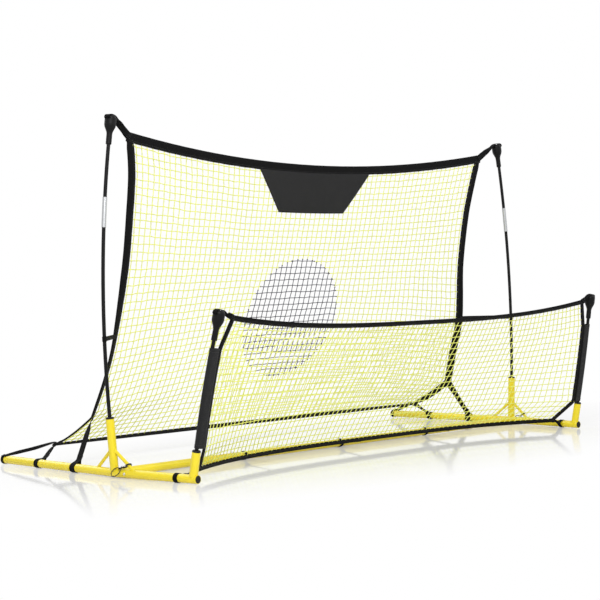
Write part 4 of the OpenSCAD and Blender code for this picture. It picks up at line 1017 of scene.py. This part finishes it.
# Pale floor that keeps the shadow, soft lamps and the camera
studio = {"floor": 30.0, "grey": 0.93, "floorRough": 0.07, "floorShine": 0.4, "floorGlow": 0.22, "fadeFrom": 0.4,
          "fadeTo": 0.8, "spread": (0.35, 1.0, 0), "world": 0.3, "aim": (0, 0, 0.4)}
lamps = {"keyLamp": {"power": 235.0, "place": (-3.2, -3.4, 3.6), "size": 2.6},
         "fillLamp": {"power": 42.0, "place": (3.6, -2.6, 2.8), "size": 2.6},
         "backLamp": {"power": 90.0, "place": (-0.5, 3.6, 3.4), "size": 3.0}}
camera = {"place": (-4.300, -3.692, 0.607), "yaw": 48.1, "down": 1.16, "roll": -0.8, "lens": 102.0, "sensor": 36,
          "reach": 60}


def seenDirectly(graph):
    # one for what the camera sees, also in a reflection or through something clear
    path = graph.node("ShaderNodeLightPath")
    glossy = path.maths("MAXIMUM", path, path["Is Glossy Ray"])
    return path.maths("MAXIMUM", glossy, path["Is Transmission Ray"])


def makeStudio():
    half, grey = studio["floor"] / 2, studio["grey"]
    corners = [(-half, -half, 0), (half, -half, 0), (half, half, 0), (-half, half, 0)]
    mesh = plainMesh("floor", corners, faces=[range(4)])
    f = Finish("studioFloor", Base_Color=shade(grey, grey, grey), Roughness=studio["floorRough"],
               Specular_IOR_Level=studio["floorShine"])
    glow = f.node("ShaderNodeEmission", {"Color": shade(1, 1, 1), "Strength": 1.0})
    scaled = f.node("ShaderNodeVectorMath", {0: f.place, 1: studio["spread"]}, "Vector", operation="MULTIPLY")
    away = f.node("ShaderNodeVectorMath", {0: scaled}, "Value", operation="LENGTH")
    far = ((away - studio["fadeFrom"]) * (1 / (studio["fadeTo"] - studio["fadeFrom"]))).clamp()
    shine = studio["floorGlow"] + far * (1 - studio["floorGlow"])
    both = f.node("ShaderNodeMixShader", {0: seenDirectly(f) * shine, 1: Field(f, f.shader.outputs[0]), 2: glow})
    f.tree.links.new(both.socket, f.tree.nodes["Material Output"].inputs["Surface"])
    mesh.materials.append(f.material)
    floor = inScene("floor", mesh)

    world = bpy.data.worlds.new("studio")
    scene.world = world
    world.use_nodes = True
    strength = seenDirectly(Graph(world.node_tree)) * (1.0 - studio["world"]) + studio["world"]
    background = world.node_tree.nodes["Background"]
    background.inputs["Color"].default_value = shade(1, 1, 1)
    world.node_tree.links.new(strength.socket, background.inputs["Strength"])

    for name, lamp in lamps.items():
        light = bpy.data.lights.new(name, "AREA")
        light.energy, light.size = lamp["power"], lamp["size"]
        lit = inScene(name, light)
        lit.location = lamp["place"]
        lit.rotation_euler = (Vector(studio["aim"]) - Vector(lamp["place"])).to_track_quat("-Z", "Y").to_euler()


def makeCamera():
    yaw, pitch, roll = (math.radians(camera[k]) for k in ("yaw", "down", "roll"))
    ahead = vec(math.sin(yaw) * math.cos(pitch), math.cos(yaw) * math.cos(pitch), -math.sin(pitch))
    right = vec(math.cos(yaw), -math.sin(yaw), 0)
    up = np.cross(right, ahead)
    right, up = right * math.cos(roll) + up * math.sin(roll), up * math.cos(roll) - right * math.sin(roll)
    lens = bpy.data.cameras.new("camera")
    lens.lens, lens.sensor_width, lens.clip_end = camera["lens"], camera["sensor"], camera["reach"]
    seat = inScene("camera", lens)
    turn = Matrix([right, up, -ahead]).transposed().to_4x4()
    seat.matrix_world = Matrix.Translation(camera["place"]) @ turn
    scene.camera = seat


makeStudio()
makeCamera()
print("studio lit")
